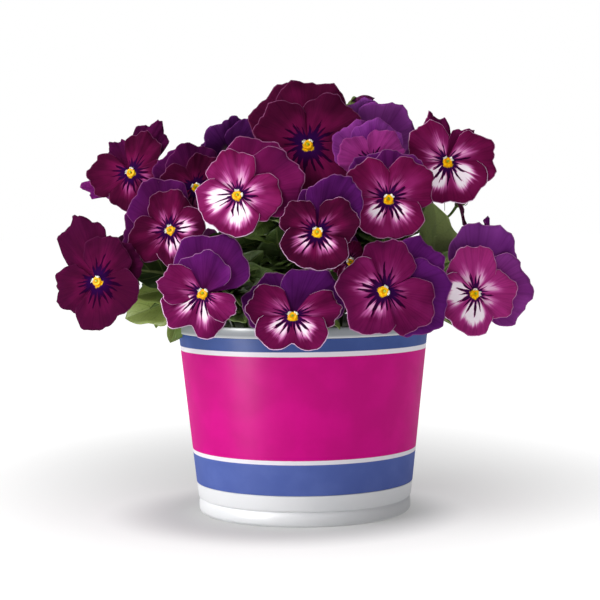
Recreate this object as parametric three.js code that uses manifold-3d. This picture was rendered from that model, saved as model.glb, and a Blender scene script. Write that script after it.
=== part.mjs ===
// A potted pansy planter: a tapered plastic pot with a printed label, filled with soil, from which leafy
// stems grow. They carry leaves with scalloped edges, flower stalks with their sepals, blooms of five petals,
// and a few buds.
// Millimetres, +Z up. The origin is the centre of the pot's underside, and the front of the pot faces -Y.
import * as THREE from 'three';
import { mergeVertices } from 'three/addons/utils/BufferGeometryUtils.js';
import Module from 'manifold-3d';

const wasm = await Module();
wasm.setup();

// Pot
const POT_HEIGHT = 124;
const POT_SIDES = 32;
const BODY_FOOT = { r: 69.8, z: 10 };
const BODY_TOP = { r: 81.4, z: 117.3 };
const FOOT_RADIUS = 69.4;
const RIM_RADIUS = 82.5;
const WALL = 1.8;
const FLOOR_TOP = 5;
const FLOOR_RECESS = 2.5;
const BOSS_RADIUS = 24;
const FOOT_RING_INNER = 58;
const DRAIN = { count: 4, circle: 41, r: 5, sides: 8 };
const LABEL = { low: 19.6, high: 117.3, thick: 0.5 };
const GAP = 0.3;
const SLIVER = 0.4;
const SOIL_TOP = 107;
const SOIL_LUMP = 3;

// Stems
const STEM_DEPTH = 18;
const STEM_RADIUS = 1.9;
const STALK_RADIUS = 1.1;
const HOLE_CLEARANCE = 1.2;

// Flowers
const PETAL_THICK = 0.7;
const ROOT_RADIUS = 1.2;
const HUB = { back: -6, r: 2.7, front: 2.4, sides: 5 };
const CALYX_FRONT = HUB.back - GAP;
const SEPAL = { count: 5, tip: 11, notch: 3.6, thick: 1.4 };
const BUD = { front: 9, r: 3.6 };

// The five petals, back to front. turn is clockwise from straight up and fan is half the spread, both in
// degrees. root is how far forward the petal starts, lean its slope and curl its bend forward, and its edge
// is ruffled in waves.
const PETALS = [
  { kind: 'top', turn: -30, fan: 62, length: 34, root: -3.4, lean: -0.1, curl: -0.04, ruffle: 2, waves: 2.6 },
  { kind: 'top', turn: 26, fan: 62, length: 34, root: -2.1, lean: -0.06, curl: -0.03, ruffle: 1.8, waves: 2.3 },
  { kind: 'side', turn: -56, fan: 57, length: 27, root: -0.9, lean: 0.02, curl: 0, ruffle: 1.6, waves: 2.2 },
  { kind: 'side', turn: 56, fan: 57, length: 27, root: -0.9, lean: 0.02, curl: 0, ruffle: 1.6, waves: 2.4 },
  { kind: 'lip', turn: 180, fan: 86, length: 27, root: 0.5, lean: 0.08, curl: 0.02, ruffle: 1.7, waves: 3 },
];
const PETAL_ROWS = { top: [2, 3, 7], side: [2, 3, 6], lip: [2, 3, 8] };
const LIP_NOTCH = 0.13;
const FULLNESS = { top: 0.28, side: 0.28, lip: 0.19 };

// Every bloom: the place of its eye, where it faces (yaw round from the front to +X, pitch up), how far it is
// turned clockwise, and its size. own changes single petals, by their place in PETALS: degrees of turn, shares
// of length and fan, the depth of the notch in the edge, which is a peak where it is below 0, and more lean.
const BLOOMS = [
  { eye: [-124, -80, 154], yaw: -18, pitch: 4, turn: -35, size: 1.03,
    own: { 0: [40, 1.12, 0.62, -0.06], 1: [62, 0.86, 0.8], 2: [-20, 1.06, 0.95], 3: [0, 1.04, 1.06],
      4: [-2, 1.12, 0.85, 0.18] } },
  { eye: [-106, -50, 220], yaw: -12, pitch: 10, turn: -35, size: 0.98,
    own: { 0: [30, 0.74, 0.5], 1: [40, 0.98, 0.55, -0.08], 2: [-4, 1, 0.9], 3: [6, 0.96, 0.8],
      4: [-2, 0.98, 0.9, 0.32] } },
  { eye: [-80, -77, 184], yaw: -8, pitch: 5, turn: -56, size: 0.95, own: { 4: [-6, 1.02, 0.98, 0.34, 0.15] } },
  { eye: [-37, -104, 204], yaw: -8, pitch: 8, turn: 41, size: 1,
    own: { 0: [16, 1.05], 1: [0, 1.12, 0.9] } },
  { eye: [4, -72, 235], yaw: 0, pitch: 10, turn: -6, size: 1.2,
    own: { 0: [4], 1: [-18], 2: [0, 1.05], 3: [0, 1.12], 4: [0, 1.06] } },
  { eye: [51, -100, 201], yaw: 8, pitch: 5, turn: 4, size: 1,
    own: { 0: [0, 0.9], 1: [0, 0.94], 3: [0, 1.12] } },
  { eye: [89, -66, 224], yaw: 15, pitch: 10, turn: 12, size: 1.08,
    own: { 0: [10, 0.82, 0.5, -0.12], 1: [14, 0.74, 0.6], 3: [18, 1.12], 4: [-14] } },
  { eye: [9, -118, 182], yaw: 0, pitch: 5, turn: 10, size: 0.96,
    own: { 0: [44, 0.9], 1: [0, 1.02, 0.85, -0.14], 2: [-10, 0.86, 0.9] } },
  { eye: [48, -112, 147], yaw: 5, pitch: 0, turn: 68, size: 1.14,
    own: { 0: [18, 1, 0.75], 1: [8, 1.05], 2: [-6, 0.95] } },
  { eye: [104, -82, 144], yaw: 15, pitch: 0, turn: 45, size: 1.02,
    own: { 0: [12, 1.24, 0.95, -0.05], 1: [12, 1.12] } },
  { eye: [-58, -112, 147], yaw: -5, pitch: 14, turn: 5, size: 1,
    own: { 0: [40, 1.06, 1.1, 0, 0.15], 1: [-34, 0.7, 1.15, 0, 0.2], 2: [-22, 0.95, 0.8, 0, 0.2],
      3: [70, 0.92, 0.62, 0, 0.21], 4: [14, 1.08, 0.8, 0.26] } },
  { eye: [-6, -110, 133], yaw: 0, pitch: 22, turn: 0, size: 1,
    own: { 0: [-18, 0.98], 1: [20, 0.98, 1.05], 2: [-14, 0.98, 0.9], 3: [20, 1.08, 0.7],
      4: [0, 1.02, 1, 0.34] } },
  { eye: [-46, -34, 232], yaw: -150, pitch: 30, turn: 0, size: 0.82 },
  { eye: [44, -42, 232], yaw: 178, pitch: 15, turn: 0, size: 1 },
  { eye: [128, -10, 158], yaw: 82, pitch: 8, turn: -20, size: 1 },
  { eye: [108, 62, 150], yaw: 125, pitch: 6, turn: 25, size: 1.02 },
  { eye: [52, 104, 152], yaw: 160, pitch: 8, turn: -35, size: 1 },
  { eye: [-12, 116, 146], yaw: 188, pitch: 5, turn: 15, size: 1.04 },
  { eye: [-74, 92, 152], yaw: 218, pitch: 6, turn: -10, size: 0.98 },
  { eye: [-120, 34, 158], yaw: 255, pitch: 8, turn: 30, size: 1.03 },
  { eye: [74, 48, 214], yaw: 125, pitch: 25, turn: -15, size: 1 },
  { eye: [16, 78, 208], yaw: 170, pitch: 22, turn: 20, size: 1.05 },
  { eye: [-48, 58, 214], yaw: 215, pitch: 25, turn: -25, size: 0.98 },
  { eye: [-112, -14, 216], yaw: -30, pitch: 16, turn: -4, size: 0.7, own: { 2: [-32, 1.75, 0.5, -0.1] } },
  { eye: [-2, 14, 250], yaw: 185, pitch: 55, turn: 0, size: 1 },
  { eye: [100, 8, 207], yaw: 85, pitch: 15, turn: -8, size: 0.95 },
  { eye: [28, -91, 164], yaw: 25, pitch: 0, turn: -30, size: 0.5 },
  { eye: [-65, -64, 210], yaw: 15, pitch: 8, turn: -20, size: 0.8 },
  { eye: [42, -86, 223], yaw: 4, pitch: 8, turn: -8, size: 0.8, own: { 4: [0, 0.7] } },
];

// Closed buds, given as blooms are.
const BUDS = [
  { eye: [-9, -92, 203], yaw: -10, pitch: 35, turn: 0, size: 0.6 },
  { eye: [112, 46, 204], yaw: 100, pitch: 40, turn: 0, size: 0.6 },
  { eye: [-60, 96, 192], yaw: 215, pitch: 35, turn: 0, size: 0.6 },
  { eye: [39, -28, 264], yaw: 76, pitch: 12, turn: 0, size: 0.6 },
];

// Leafy stems: where each leaves the soil (azimuth from +X and radius), where its tip ends, and for some a
// leaf of its own, given as the leaf places below are.
const STEMS = [
  { azimuth: 268, base: 52, reach: 82, tip: 142, leaf: { along: 0.97, turned: 66, pitch: -18, length: 32 } },
  { azimuth: 232, base: 54, reach: 84, tip: 150,
    leaf: { along: 0.97, turned: -59, pitch: -6, length: 58, roll: 58 } },
  { azimuth: 198, base: 52, reach: 82, tip: 158, leaf: { along: 0.66, turned: 26, pitch: -12, length: 48 } },
  { azimuth: 150, base: 52, reach: 80, tip: 146 },
  { azimuth: 96, base: 52, reach: 82, tip: 142 },
  { azimuth: 40, base: 52, reach: 80, tip: 146 },
  { azimuth: 350, base: 52, reach: 84, tip: 150,
    leaf: { along: 0.97, turned: -56, pitch: 66, length: 60, roll: 56 } },
  { azimuth: 308, base: 54, reach: 84, tip: 144, leaf: { along: 0.92, turned: 4, pitch: -36, length: 30 } },
  { azimuth: 250, base: 24, reach: 52, tip: 196 },
  { azimuth: 10, base: 24, reach: 54, tip: 198 },
  { azimuth: 120, base: 24, reach: 50, tip: 196 },
];

// Leaves. Each stem has a row of places for them, at a share of its length, turned from its own direction.
// A leaf rolls a little about its own length, or by roll degrees.
// A leaf is left out where it would cross a bloom or reach another stem.
const LEAF_PLACES = [
  { along: 0.42, turned: -70, pitch: 0, length: 44 },
  { along: 0.52, turned: 62, pitch: 8, length: 40 },
  { along: 0.66, turned: 8, pitch: -12, length: 42 },
  { along: 0.78, turned: -48, pitch: 20, length: 38 },
  { along: 0.9, turned: 52, pitch: 34, length: 36 },
  { along: 1, turned: -10, pitch: 58, length: 34 },
];
const LEAF = { half: 0.25, fold: 0.35, droop: 0.22, thick: 0.8, petiole: 0.22, stalk: 0.9, waves: 3.6 };
const LEAF_WAVE = 0.1;
const LEAF_ROWS = [[0, 2], [0.22, 3], [0.36, 3], [0.5, 3], [0.64, 3], [0.8, 3], [1, 1]];
const LEAF_CLEAR = 5;
const LEAF_LOWEST = 104;
const BLOOM_CLEAR = { r: 35, front: 9, back: -12 };

const radians = THREE.MathUtils.degToRad;

// A fixed number from 0 to 1 for each whole number.
function draw(n) {
  const raised = Math.sin(n * 12.9898 + 4.1414) * 43758.5453;
  return raised - Math.floor(raised);
}

function solidOf(geometry) {
  const bare = geometry.clone();
  bare.deleteAttribute('normal');
  bare.deleteAttribute('uv');
  const merged = mergeVertices(bare, 1e-4);
  return new wasm.Manifold(new wasm.Mesh({
    numProp: 3,
    vertProperties: new Float32Array(merged.attributes.position.array),
    triVerts: new Uint32Array(merged.index.array),
  }));
}

function geometryOf(solid) {
  const mesh = solid.getMesh();
  const geometry = new THREE.BufferGeometry();
  geometry.setAttribute('position', new THREE.BufferAttribute(new Float32Array(mesh.vertProperties), 3));
  geometry.setIndex(new THREE.BufferAttribute(new Uint32Array(mesh.triVerts), 1));
  geometry.computeVertexNormals();
  return geometry;
}

function join(solids) {
  return solids.reduce((whole, solid) => whole.add(solid));
}

// Turns a closed (radius, height) profile round the Z axis.
function turned(profile, sides) {
  const outline = profile.map(([r, z]) => new THREE.Vector2(r, z));
  return new THREE.LatheGeometry(outline, sides).rotateX(Math.PI / 2);
}

// A thin closed sheet: rows of points from root to tip, each from left to right, given thickness behind them.
function bladeOf(rows, back) {
  const points = rows.flat();
  const starts = [];
  rows.reduce((start, row) => {
    starts.push(start);
    return start + row.length;
  }, 0);
  const count = points.length;
  const faces = [];
  for (let k = 0; k + 1 < rows.length; k++) {
    const near = rows[k].length - 1;
    const far = rows[k + 1].length - 1;
    let i = 0;
    let j = 0;
    while (i < near || j < far) {
      const a = starts[k] + i;
      const b = starts[k + 1] + j;
      if (j === far || (i < near && (i + 1) * far <= (j + 1) * near)) {
        faces.push(a, a + 1, b);
        i++;
      } else {
        faces.push(a, b + 1, b);
        j++;
      }
    }
  }
  const last = rows.length - 1;
  const edge = rows[0].map((_, i) => i);
  for (let k = 1; k < last; k++) edge.push(starts[k] + rows[k].length - 1);
  for (let i = rows[last].length - 1; i >= 0; i--) edge.push(starts[last] + i);
  for (let k = last - 1; k > 0; k--) edge.push(starts[k]);
  const front = faces.length;
  for (let f = 0; f < front; f += 3) faces.push(faces[f] + count, faces[f + 2] + count, faces[f + 1] + count);
  edge.forEach((p, i) => {
    const q = edge[(i + 1) % edge.length];
    faces.push(q, p, p + count, q, p + count, q + count);
  });
  const all = [...points, ...points.map((point) => point.clone().add(back))];
  return new wasm.Manifold(new wasm.Mesh({
    numProp: 3,
    vertProperties: new Float32Array(all.flatMap((point) => point.toArray())),
    triVerts: new Uint32Array(faces),
  }));
}

function tube(extrudePath, radius, sides, steps) {
  const section = new THREE.Shape();
  for (let i = 0; i < sides; i++) {
    const angle = (2 * Math.PI * i) / sides;
    const corner = [radius * Math.cos(angle), radius * Math.sin(angle)];
    if (i === 0) section.moveTo(...corner);
    else section.lineTo(...corner);
  }
  return solidOf(new THREE.ExtrudeGeometry(section, { steps, bevelEnabled: false, extrudePath }));
}

function bodyRadius(z) {
  return BODY_FOOT.r + ((BODY_TOP.r - BODY_FOOT.r) * (z - BODY_FOOT.z)) / (BODY_TOP.z - BODY_FOOT.z);
}

function innerRadius(z) {
  return bodyRadius(z) - LABEL.thick - GAP - WALL;
}

function makePot() {
  const recess = (z) => bodyRadius(z) - LABEL.thick - GAP;
  const profile = [
    [0, 0], [BOSS_RADIUS, 0], [BOSS_RADIUS, FLOOR_RECESS], [FOOT_RING_INNER, FLOOR_RECESS],
    [FOOT_RING_INNER, 0], [FOOT_RADIUS - 2, 0], [FOOT_RADIUS, 3], [FOOT_RADIUS - 0.2, 8.2],
    [FOOT_RADIUS - 1.2, 9.4], [BODY_FOOT.r, BODY_FOOT.z + 0.6], [bodyRadius(LABEL.low), LABEL.low],
    [recess(LABEL.low), LABEL.low], [recess(LABEL.high), LABEL.high], [RIM_RADIUS - 0.6, LABEL.high],
    [RIM_RADIUS, POT_HEIGHT - 1.2], [RIM_RADIUS - 1, POT_HEIGHT], [innerRadius(POT_HEIGHT), POT_HEIGHT],
    [innerRadius(FLOOR_TOP), FLOOR_TOP], [0, FLOOR_TOP],
  ];
  let pot = solidOf(turned(profile, POT_SIDES));
  for (let i = 0; i < DRAIN.count; i++) {
    const angle = (2 * Math.PI * (i + 0.5)) / DRAIN.count;
    const drain = new THREE.CylinderGeometry(DRAIN.r, DRAIN.r, 3 * FLOOR_TOP, DRAIN.sides);
    drain.rotateX(Math.PI / 2).translate(DRAIN.circle * Math.cos(angle), DRAIN.circle * Math.sin(angle), 0);
    pot = pot.subtract(solidOf(drain));
  }
  return pot;
}

function makeLabel() {
  const low = LABEL.low + GAP;
  const high = LABEL.high - GAP;
  const profile = [
    [bodyRadius(low) - LABEL.thick, low], [bodyRadius(low), low],
    [bodyRadius(high), high], [bodyRadius(high) - LABEL.thick, high],
    [bodyRadius(low) - LABEL.thick, low],
  ];
  return solidOf(turned(profile, POT_SIDES));
}

function stemBase(stem) {
  const angle = radians(stem.azimuth);
  return new THREE.Vector3(stem.base * Math.cos(angle), stem.base * Math.sin(angle), SOIL_TOP - STEM_DEPTH);
}

function makeSoil() {
  const edge = (z) => innerRadius(z) - GAP;
  const profile = [
    [0, FLOOR_TOP + GAP], [edge(FLOOR_TOP + GAP), FLOOR_TOP + GAP], [edge(SOIL_TOP - 2), SOIL_TOP - 2],
    [66, SOIL_TOP], [38, SOIL_TOP + 1], [0, SOIL_TOP + 2],
  ];
  const plug = turned(profile, POT_SIDES);
  const place = plug.attributes.position;
  for (let i = 0; i < place.count; i++) {
    const [x, y, z] = [place.getX(i), place.getY(i), place.getZ(i)];
    const inside = z > SOIL_TOP - 1 && Math.hypot(x, y) > 1;
    if (inside) place.setZ(i, z + SOIL_LUMP * (draw(Math.round(x * 3) + 40 * Math.round(y * 3)) - 0.5));
  }
  let soil = solidOf(plug);
  for (const stem of STEMS) {
    const foot = stemBase(stem);
    const wide = STEM_RADIUS + HOLE_CLEARANCE;
    const hole = new THREE.CylinderGeometry(wide, wide, 2 * STEM_DEPTH, 6).rotateX(Math.PI / 2);
    hole.translate(foot.x, foot.y, foot.z + STEM_DEPTH - GAP);
    soil = soil.subtract(solidOf(hole));
  }
  return soil;
}

// The bloom's own axes: X to the viewer's right, Y towards its top petals, Z the way that it faces.
function bloomMatrix(bloom) {
  const yaw = radians(bloom.yaw);
  const pitch = radians(bloom.pitch);
  const turn = radians(bloom.turn);
  const ahead = new THREE.Vector3(Math.sin(yaw), -Math.cos(yaw), 0);
  const face = ahead.multiplyScalar(Math.cos(pitch)).setZ(Math.sin(pitch));
  const level = new THREE.Vector3(Math.cos(yaw), Math.sin(yaw), 0);
  const rise = new THREE.Vector3().crossVectors(face, level);
  const up = rise.clone().multiplyScalar(Math.cos(turn)).addScaledVector(level, Math.sin(turn));
  const right = level.clone().multiplyScalar(Math.cos(turn)).addScaledVector(rise, -Math.sin(turn));
  return new THREE.Matrix4().makeBasis(right, up, face).setPosition(...bloom.eye);
}

// One petal of one bloom, with its small seeded differences.
function petalOf(bloom, index, k) {
  const made = { ...PETALS[k] };
  const [turn = 0, length = 1, fan = 1, notch, lean = 0] = bloom.own?.[k] ?? [];
  const vary = (item) => draw(100 * index + 10 * k + item) - 0.5;
  made.length *= bloom.size * length * (1 + 0.1 * vary(1));
  made.turn += turn + 9 * vary(2);
  made.fan *= fan;
  made.notch = notch ?? (made.kind === 'lip' ? LIP_NOTCH : 0);
  made.lean += lean + 0.06 * vary(3);
  made.curl += 0.09 * vary(4);
  made.phase = 2 * Math.PI * draw(100 * index + 10 * k + 5);
  made.waves += 0.8 * vary(6);
  made.ruffle *= bloom.size;
  return made;
}

// How far the petal's edge is from its root, in the direction u from its left side (-1) to its right (1).
function petalReach(petal, u) {
  const round = Math.cos(u * radians(83)) ** FULLNESS[petal.kind];
  const notch = petal.notch * Math.exp(-((u / 0.2) ** 2));
  const lobes = 0.035 * Math.sin(3.1 * Math.PI * u + petal.phase);
  const nicks = 0.015 * Math.sin(7.3 * Math.PI * u - petal.phase);
  return petal.length * (round - notch + lobes + nicks);
}

// A point of the petal in the bloom's axes, from its root (v 0) to its edge (v 1).
function petalPoint(petal, u, v) {
  const r = ROOT_RADIUS + (petalReach(petal, u) - ROOT_RADIUS) * v;
  const share = r / petal.length;
  const angle = radians(petal.turn + u * petal.fan);
  const wave = petal.ruffle * share ** 3 * Math.sin(petal.waves * Math.PI * u + petal.phase);
  const z = petal.root + petal.lean * r + petal.curl * petal.length * share ** 2 + wave;
  return new THREE.Vector3(r * Math.sin(angle), r * Math.cos(angle), z);
}

function petalSolid(petal) {
  const rows = PETAL_ROWS[petal.kind].map((count, k, all) => {
    const v = [0, 0.5, 1][k];
    return Array.from({ length: count }, (_, i) => petalPoint(petal, (2 * i) / (count - 1) - 1, v));
  });
  return bladeOf(rows, new THREE.Vector3(0, 0, -PETAL_THICK));
}

function makeBloom(bloom, index) {
  const hub = [[0, HUB.back], [HUB.r, HUB.back], [HUB.r, 0.6], [0, HUB.front]];
  const petals = PETALS.map((_, k) => petalSolid(petalOf(bloom, index, k)));
  return join([solidOf(turned(hub, HUB.sides)), ...petals]).simplify(SLIVER);
}

// A bud in its own axes, which are a bloom's.
function makeBud() {
  const half = BUD.r * 0.75;
  const profile = [[0, HUB.back], [HUB.r, HUB.back], [BUD.r, 0], [half, BUD.front - 3], [0, BUD.front]];
  return solidOf(turned(profile, HUB.sides));
}

// The star of sepals behind a bloom, in place.
function calyxSolid(bloom) {
  const star = new THREE.Shape();
  for (let i = 0; i < 2 * SEPAL.count; i++) {
    const angle = (Math.PI * (i + 1)) / SEPAL.count;
    const reach = i % 2 === 0 ? SEPAL.tip * bloom.size : SEPAL.notch;
    const corner = [reach * Math.sin(angle), reach * Math.cos(angle)];
    if (i === 0) star.moveTo(...corner);
    else star.lineTo(...corner);
  }
  const sheet = new THREE.ExtrudeGeometry(star, { depth: SEPAL.thick, bevelEnabled: false });
  return solidOf(sheet.translate(0, 0, CALYX_FRONT - SEPAL.thick)).transform(bloomMatrix(bloom).toArray());
}

// The line of a leafy stem, upright out of its hole and then bending outwards.
function stemCurve(stem) {
  const foot = stemBase(stem);
  const angle = radians(stem.azimuth);
  const at = (out, rise) => {
    const r = stem.base + out * (stem.reach - stem.base);
    const z = SOIL_TOP + rise * (stem.tip - SOIL_TOP);
    return new THREE.Vector3(r * Math.cos(angle), r * Math.sin(angle), z);
  };
  return new THREE.CatmullRomCurve3([foot, at(0, 0.03), at(0.12, 0.35), at(0.5, 0.75), at(1, 1)]);
}

function bloomPoint(bloom, x, y, z) {
  return new THREE.Vector3(x, y, z).applyMatrix4(bloomMatrix(bloom));
}

// A stalk is carried by the leafy stem whose tip is nearest to the back of its bloom.
function stemOf(bloom) {
  const back = bloomPoint(bloom, 0, 0, -20);
  const away = STEMS.map((stem) => stemCurve(stem).getPoint(1).distanceTo(back));
  return away.indexOf(Math.min(...away));
}

function stalkCurve(bloom, stem, order) {
  const start = stemCurve(stem).getPoint(0.95 - 0.12 * (order % 4));
  const end = bloomPoint(bloom, 0, 0, CALYX_FRONT - 0.7);
  const neck = bloomPoint(bloom, 0, 0, CALYX_FRONT - 10).add(new THREE.Vector3(0, 0, -2.5));
  const middle = start.clone().lerp(neck, 0.5).add(new THREE.Vector3(0, 0, 3));
  return new THREE.CatmullRomCurve3([start, middle, neck, end]);
}

const FLOWERS = [...BLOOMS, ...BUDS];
const STALKS = STEMS.map((stem, index) => (
  FLOWERS.filter((flower) => stemOf(flower) === index).map((flower, order) => stalkCurve(flower, stem, order))
));

// A point of a leaf: v from the stem (0) to its tip (1), s from its left edge (-1) to its right edge (1).
function leafPoint(leaf, v, s) {
  const blade = Math.max(0, (v - LEAF.petiole) / (1 - LEAF.petiole));
  const round = Math.sin(Math.PI * blade ** 0.8) ** 0.75;
  const teeth = 1 + LEAF_WAVE * Math.cos(2 * Math.PI * LEAF.waves * (v - 0.36));
  const wide = LEAF.stalk * (1 - blade) + LEAF.half * leaf.length * (v < LEAF.petiole ? 0 : round) * teeth;
  const out = leaf.along.clone().multiplyScalar(leaf.length * v);
  const side = leaf.side.clone().multiplyScalar(s * wide);
  const lift = LEAF.fold * Math.abs(s) * wide - LEAF.droop * leaf.length * v * v;
  return out.add(side).addScaledVector(leaf.up, lift).add(leaf.root);
}

function leafAt(stem, place, seed) {
  const azimuth = radians(stem.azimuth + place.turned + 30 * (draw(seed) - 0.5));
  const pitch = radians(place.pitch + 16 * (draw(seed + 1) - 0.5));
  const along = new THREE.Vector3(
    Math.cos(azimuth) * Math.cos(pitch), Math.sin(azimuth) * Math.cos(pitch), Math.sin(pitch));
  const roll = radians(place.roll ?? 50 * (draw(seed + 3) - 0.5));
  const side = new THREE.Vector3(Math.sin(azimuth), -Math.cos(azimuth), 0).applyAxisAngle(along, -roll);
  const up = new THREE.Vector3().crossVectors(side, along);
  const root = stemCurve(stem).getPoint(place.along);
  return { root, along, side, up, length: place.length * (0.85 + 0.3 * draw(seed + 2)) };
}

function leafSamples(leaf) {
  return [0.15, 0.3, 0.45, 0.6, 0.75, 0.9, 1].flatMap((v) => [-1, 0, 1].map((s) => leafPoint(leaf, v, s)));
}

function inBloom(point) {
  return FLOWERS.some((flower) => {
    const local = point.clone().applyMatrix4(bloomMatrix(flower).invert());
    const flat = Math.hypot(local.x, local.y) < BLOOM_CLEAR.r * flower.size;
    return flat && local.z < BLOOM_CLEAR.front && local.z > BLOOM_CLEAR.back;
  });
}

function inPot(point) {
  return point.z < LEAF_LOWEST || (point.z < POT_HEIGHT + 4 && Math.hypot(point.x, point.y) < RIM_RADIUS + 5);
}

// The leaves of every stem, after those that would cross something have been left out.
function allLeaves() {
  const taken = STEMS.flatMap((stem, index) => {
    const points = [stemCurve(stem), ...STALKS[index]].flatMap((curve) => curve.getPoints(14));
    return points.map((point) => ({ point, index }));
  });
  const placesOn = (stem) => [...(stem.leaf ? [stem.leaf] : []), ...LEAF_PLACES];
  return STEMS.map((stem, index) => placesOn(stem).flatMap((place, k) => {
    const leaf = leafAt(stem, place, 1000 + 60 * index + 10 * k);
    const samples = leafSamples(leaf);
    const crosses = samples.some((point) => (
      inBloom(point) || inPot(point) || taken.some((other) => (
        other.index !== index && other.point.distanceTo(point) < LEAF_CLEAR))
    ));
    if (crosses) return [];
    taken.push(...samples.map((point) => ({ point, index })));
    return [leaf];
  }));
}

function leafSolid(leaf) {
  const rows = LEAF_ROWS.map(([v, count]) => (
    Array.from({ length: count }, (_, i) => leafPoint(leaf, v, count === 1 ? 0 : (2 * i) / (count - 1) - 1))
  ));
  return bladeOf(rows, leaf.up.clone().multiplyScalar(-LEAF.thick));
}

function makeStem(stem, index, leaves) {
  const own = FLOWERS.filter((flower) => stemOf(flower) === index);
  return join([
    tube(stemCurve(stem), STEM_RADIUS, 5, 4),
    ...STALKS[index].map((curve) => tube(curve, STALK_RADIUS, 3, 3)),
    ...own.map(calyxSolid),
    ...leaves.map(leafSolid),
  ]).simplify(SLIVER);
}

const COLOURS = {
  pot: ['#e9e9ea', 0.45],
  printed_label: ['#d4047f', 0.35],
  soil: ['#2b1f17', 1],
  stem: ['#4f6b33', 0.6],
  petal: ['#6e0f4a', 0.7],
  bud: ['#cfd3a4', 0.7],
};

function named(name, geometry, [color, roughness]) {
  const mesh = new THREE.Mesh(geometry, new THREE.MeshStandardMaterial({ color, roughness, metalness: 0 }));
  mesh.name = name;
  return mesh;
}

const planter = new THREE.Group();
planter.add(named('pot', geometryOf(makePot()), COLOURS.pot));
planter.add(named('printed_label', geometryOf(makeLabel()), COLOURS.printed_label));
planter.add(named('soil', geometryOf(makeSoil()), COLOURS.soil));

const numbered = (name, i) => `${name}_${String(i + 1).padStart(2, '0')}`;
const LEAVES = allLeaves();
STEMS.forEach((stem, i) => {
  planter.add(named(numbered('leafy_stem', i), geometryOf(makeStem(stem, i, LEAVES[i])), COLOURS.stem));
});
BLOOMS.forEach((bloom, i) => {
  const solid = makeBloom(bloom, i).transform(bloomMatrix(bloom).toArray());
  planter.add(named(numbered('bloom', i), geometryOf(solid), COLOURS.petal));
});
BUDS.forEach((bud, i) => {
  const solid = makeBud().transform(bloomMatrix(bud).toArray());
  planter.add(named(numbered('bud', i), geometryOf(solid), COLOURS.bud));
});

export default planter;
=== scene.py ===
# Dresses the potted pansy planter: petals, eyes, sepals, stalks, leaves, soil, pot and label.
# Sizes are in millimetres, as in the part's source, and turned into metres when a mesh is made.
import math
import bmesh
import bpy
from mathutils import Matrix, Vector, noise


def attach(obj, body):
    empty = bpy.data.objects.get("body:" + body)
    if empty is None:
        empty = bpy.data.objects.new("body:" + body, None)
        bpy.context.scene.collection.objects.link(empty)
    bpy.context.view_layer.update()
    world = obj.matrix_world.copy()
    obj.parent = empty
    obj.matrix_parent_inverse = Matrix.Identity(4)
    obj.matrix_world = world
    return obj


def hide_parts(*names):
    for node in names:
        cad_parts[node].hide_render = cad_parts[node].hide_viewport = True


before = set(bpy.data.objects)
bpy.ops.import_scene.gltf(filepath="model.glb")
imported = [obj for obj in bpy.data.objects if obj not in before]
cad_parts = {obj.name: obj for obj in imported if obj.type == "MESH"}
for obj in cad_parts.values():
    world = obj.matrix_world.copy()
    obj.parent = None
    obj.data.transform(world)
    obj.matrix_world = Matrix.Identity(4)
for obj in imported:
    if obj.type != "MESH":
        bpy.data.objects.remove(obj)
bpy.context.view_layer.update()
MM = 0.001

# Pot, label and soil
POT_HEIGHT = 124
BODY_FOOT = (69.8, 10)
BODY_TOP = (81.4, 117.3)
FOOT_RADIUS = 69.4
RIM_RADIUS = 82.5
WALL = 1.8
FLOOR_TOP = 5
FLOOR_RECESS = 2.5
BOSS_RADIUS = 24
FOOT_RING_INNER = 58
DRAIN = dict(count=4, circle=41, r=5)
LABEL_LOW, LABEL_HIGH, LABEL_THICK = 19.6, 117.3, 0.5
LABEL_ROWS = 24
WHITE_LINES = [(39.2, 41.8), (106.0, 109.0)]
GAP = 0.3
SOIL_TOP = 107
SOIL_RINGS = 34
CRUMBS = 420
ROUND_SIDES = 144
DRAIN_SIDES = 24

# Stems and flowers
STEM_DEPTH = 18
STEM_RADIUS = 1.7
STALK_RADIUS = 0.95
ROOT_RADIUS = 1.2
HUB_BACK = -6
CALYX_FRONT = HUB_BACK - GAP
STALK_INTO_CUP = 0.7
NECK_BACK, NECK_SAG, STALK_ARCH = 10, 2.5, 3
BLOOM_BACK = 20
PETAL_THICK = 0.35
LEAF_THICK = 0.35
STEM_STEPS, STALK_STEPS, CLEAR_STEPS = 48, 26, 14
PETAL_COLUMNS, PETAL_ROWS = 34, 16
LEAF_COLUMNS, LEAF_ROWS = 8, 26
BEARD_HAIRS = 22
BUD_RADIUS, BUD_FRONT = 3.5, 8.6

# The five petals of a bloom, from its back to its front. turn is from straight up and fan is how far
# a petal reaches to each side, both in degrees; root is its place along the bloom's axis, lean and
# curl how much it leans and bends forward, ruffle how high its ripples are and ripples how many.
PETALS = [
    dict(kind="top", turn=-30, fan=62, length=34, root=-3.4, lean=-0.1, curl=-0.04, ruffle=2, ripples=2.6),
    dict(kind="top", turn=26, fan=62, length=34, root=-2.1, lean=-0.06, curl=-0.03, ruffle=1.8,
         ripples=2.3),
    dict(kind="side", turn=-56, fan=57, length=27, root=-0.9, lean=0.02, curl=0, ruffle=1.6, ripples=2.2),
    dict(kind="side", turn=56, fan=57, length=27, root=-0.9, lean=0.02, curl=0, ruffle=1.6, ripples=2.4),
    dict(kind="lip", turn=180, fan=86, length=27, root=0.5, lean=0.08, curl=0.02, ruffle=1.7, ripples=3),
]
PETAL_VARIES = dict(length=0.1, turn=9, lean=0.06, curl=0.09, ripples=0.8)
FULLNESS = dict(top=0.28, side=0.28, lip=0.19)
EDGE_ANGLE = 83
LIP_NOTCH, NOTCH_WIDTH = 0.13, 0.2
TOP_LIGHT = 0.7
LOBE_DEPTH, NICK_DEPTH, FINE_NICK_DEPTH = 0.035, 0.014, 0.009
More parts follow.
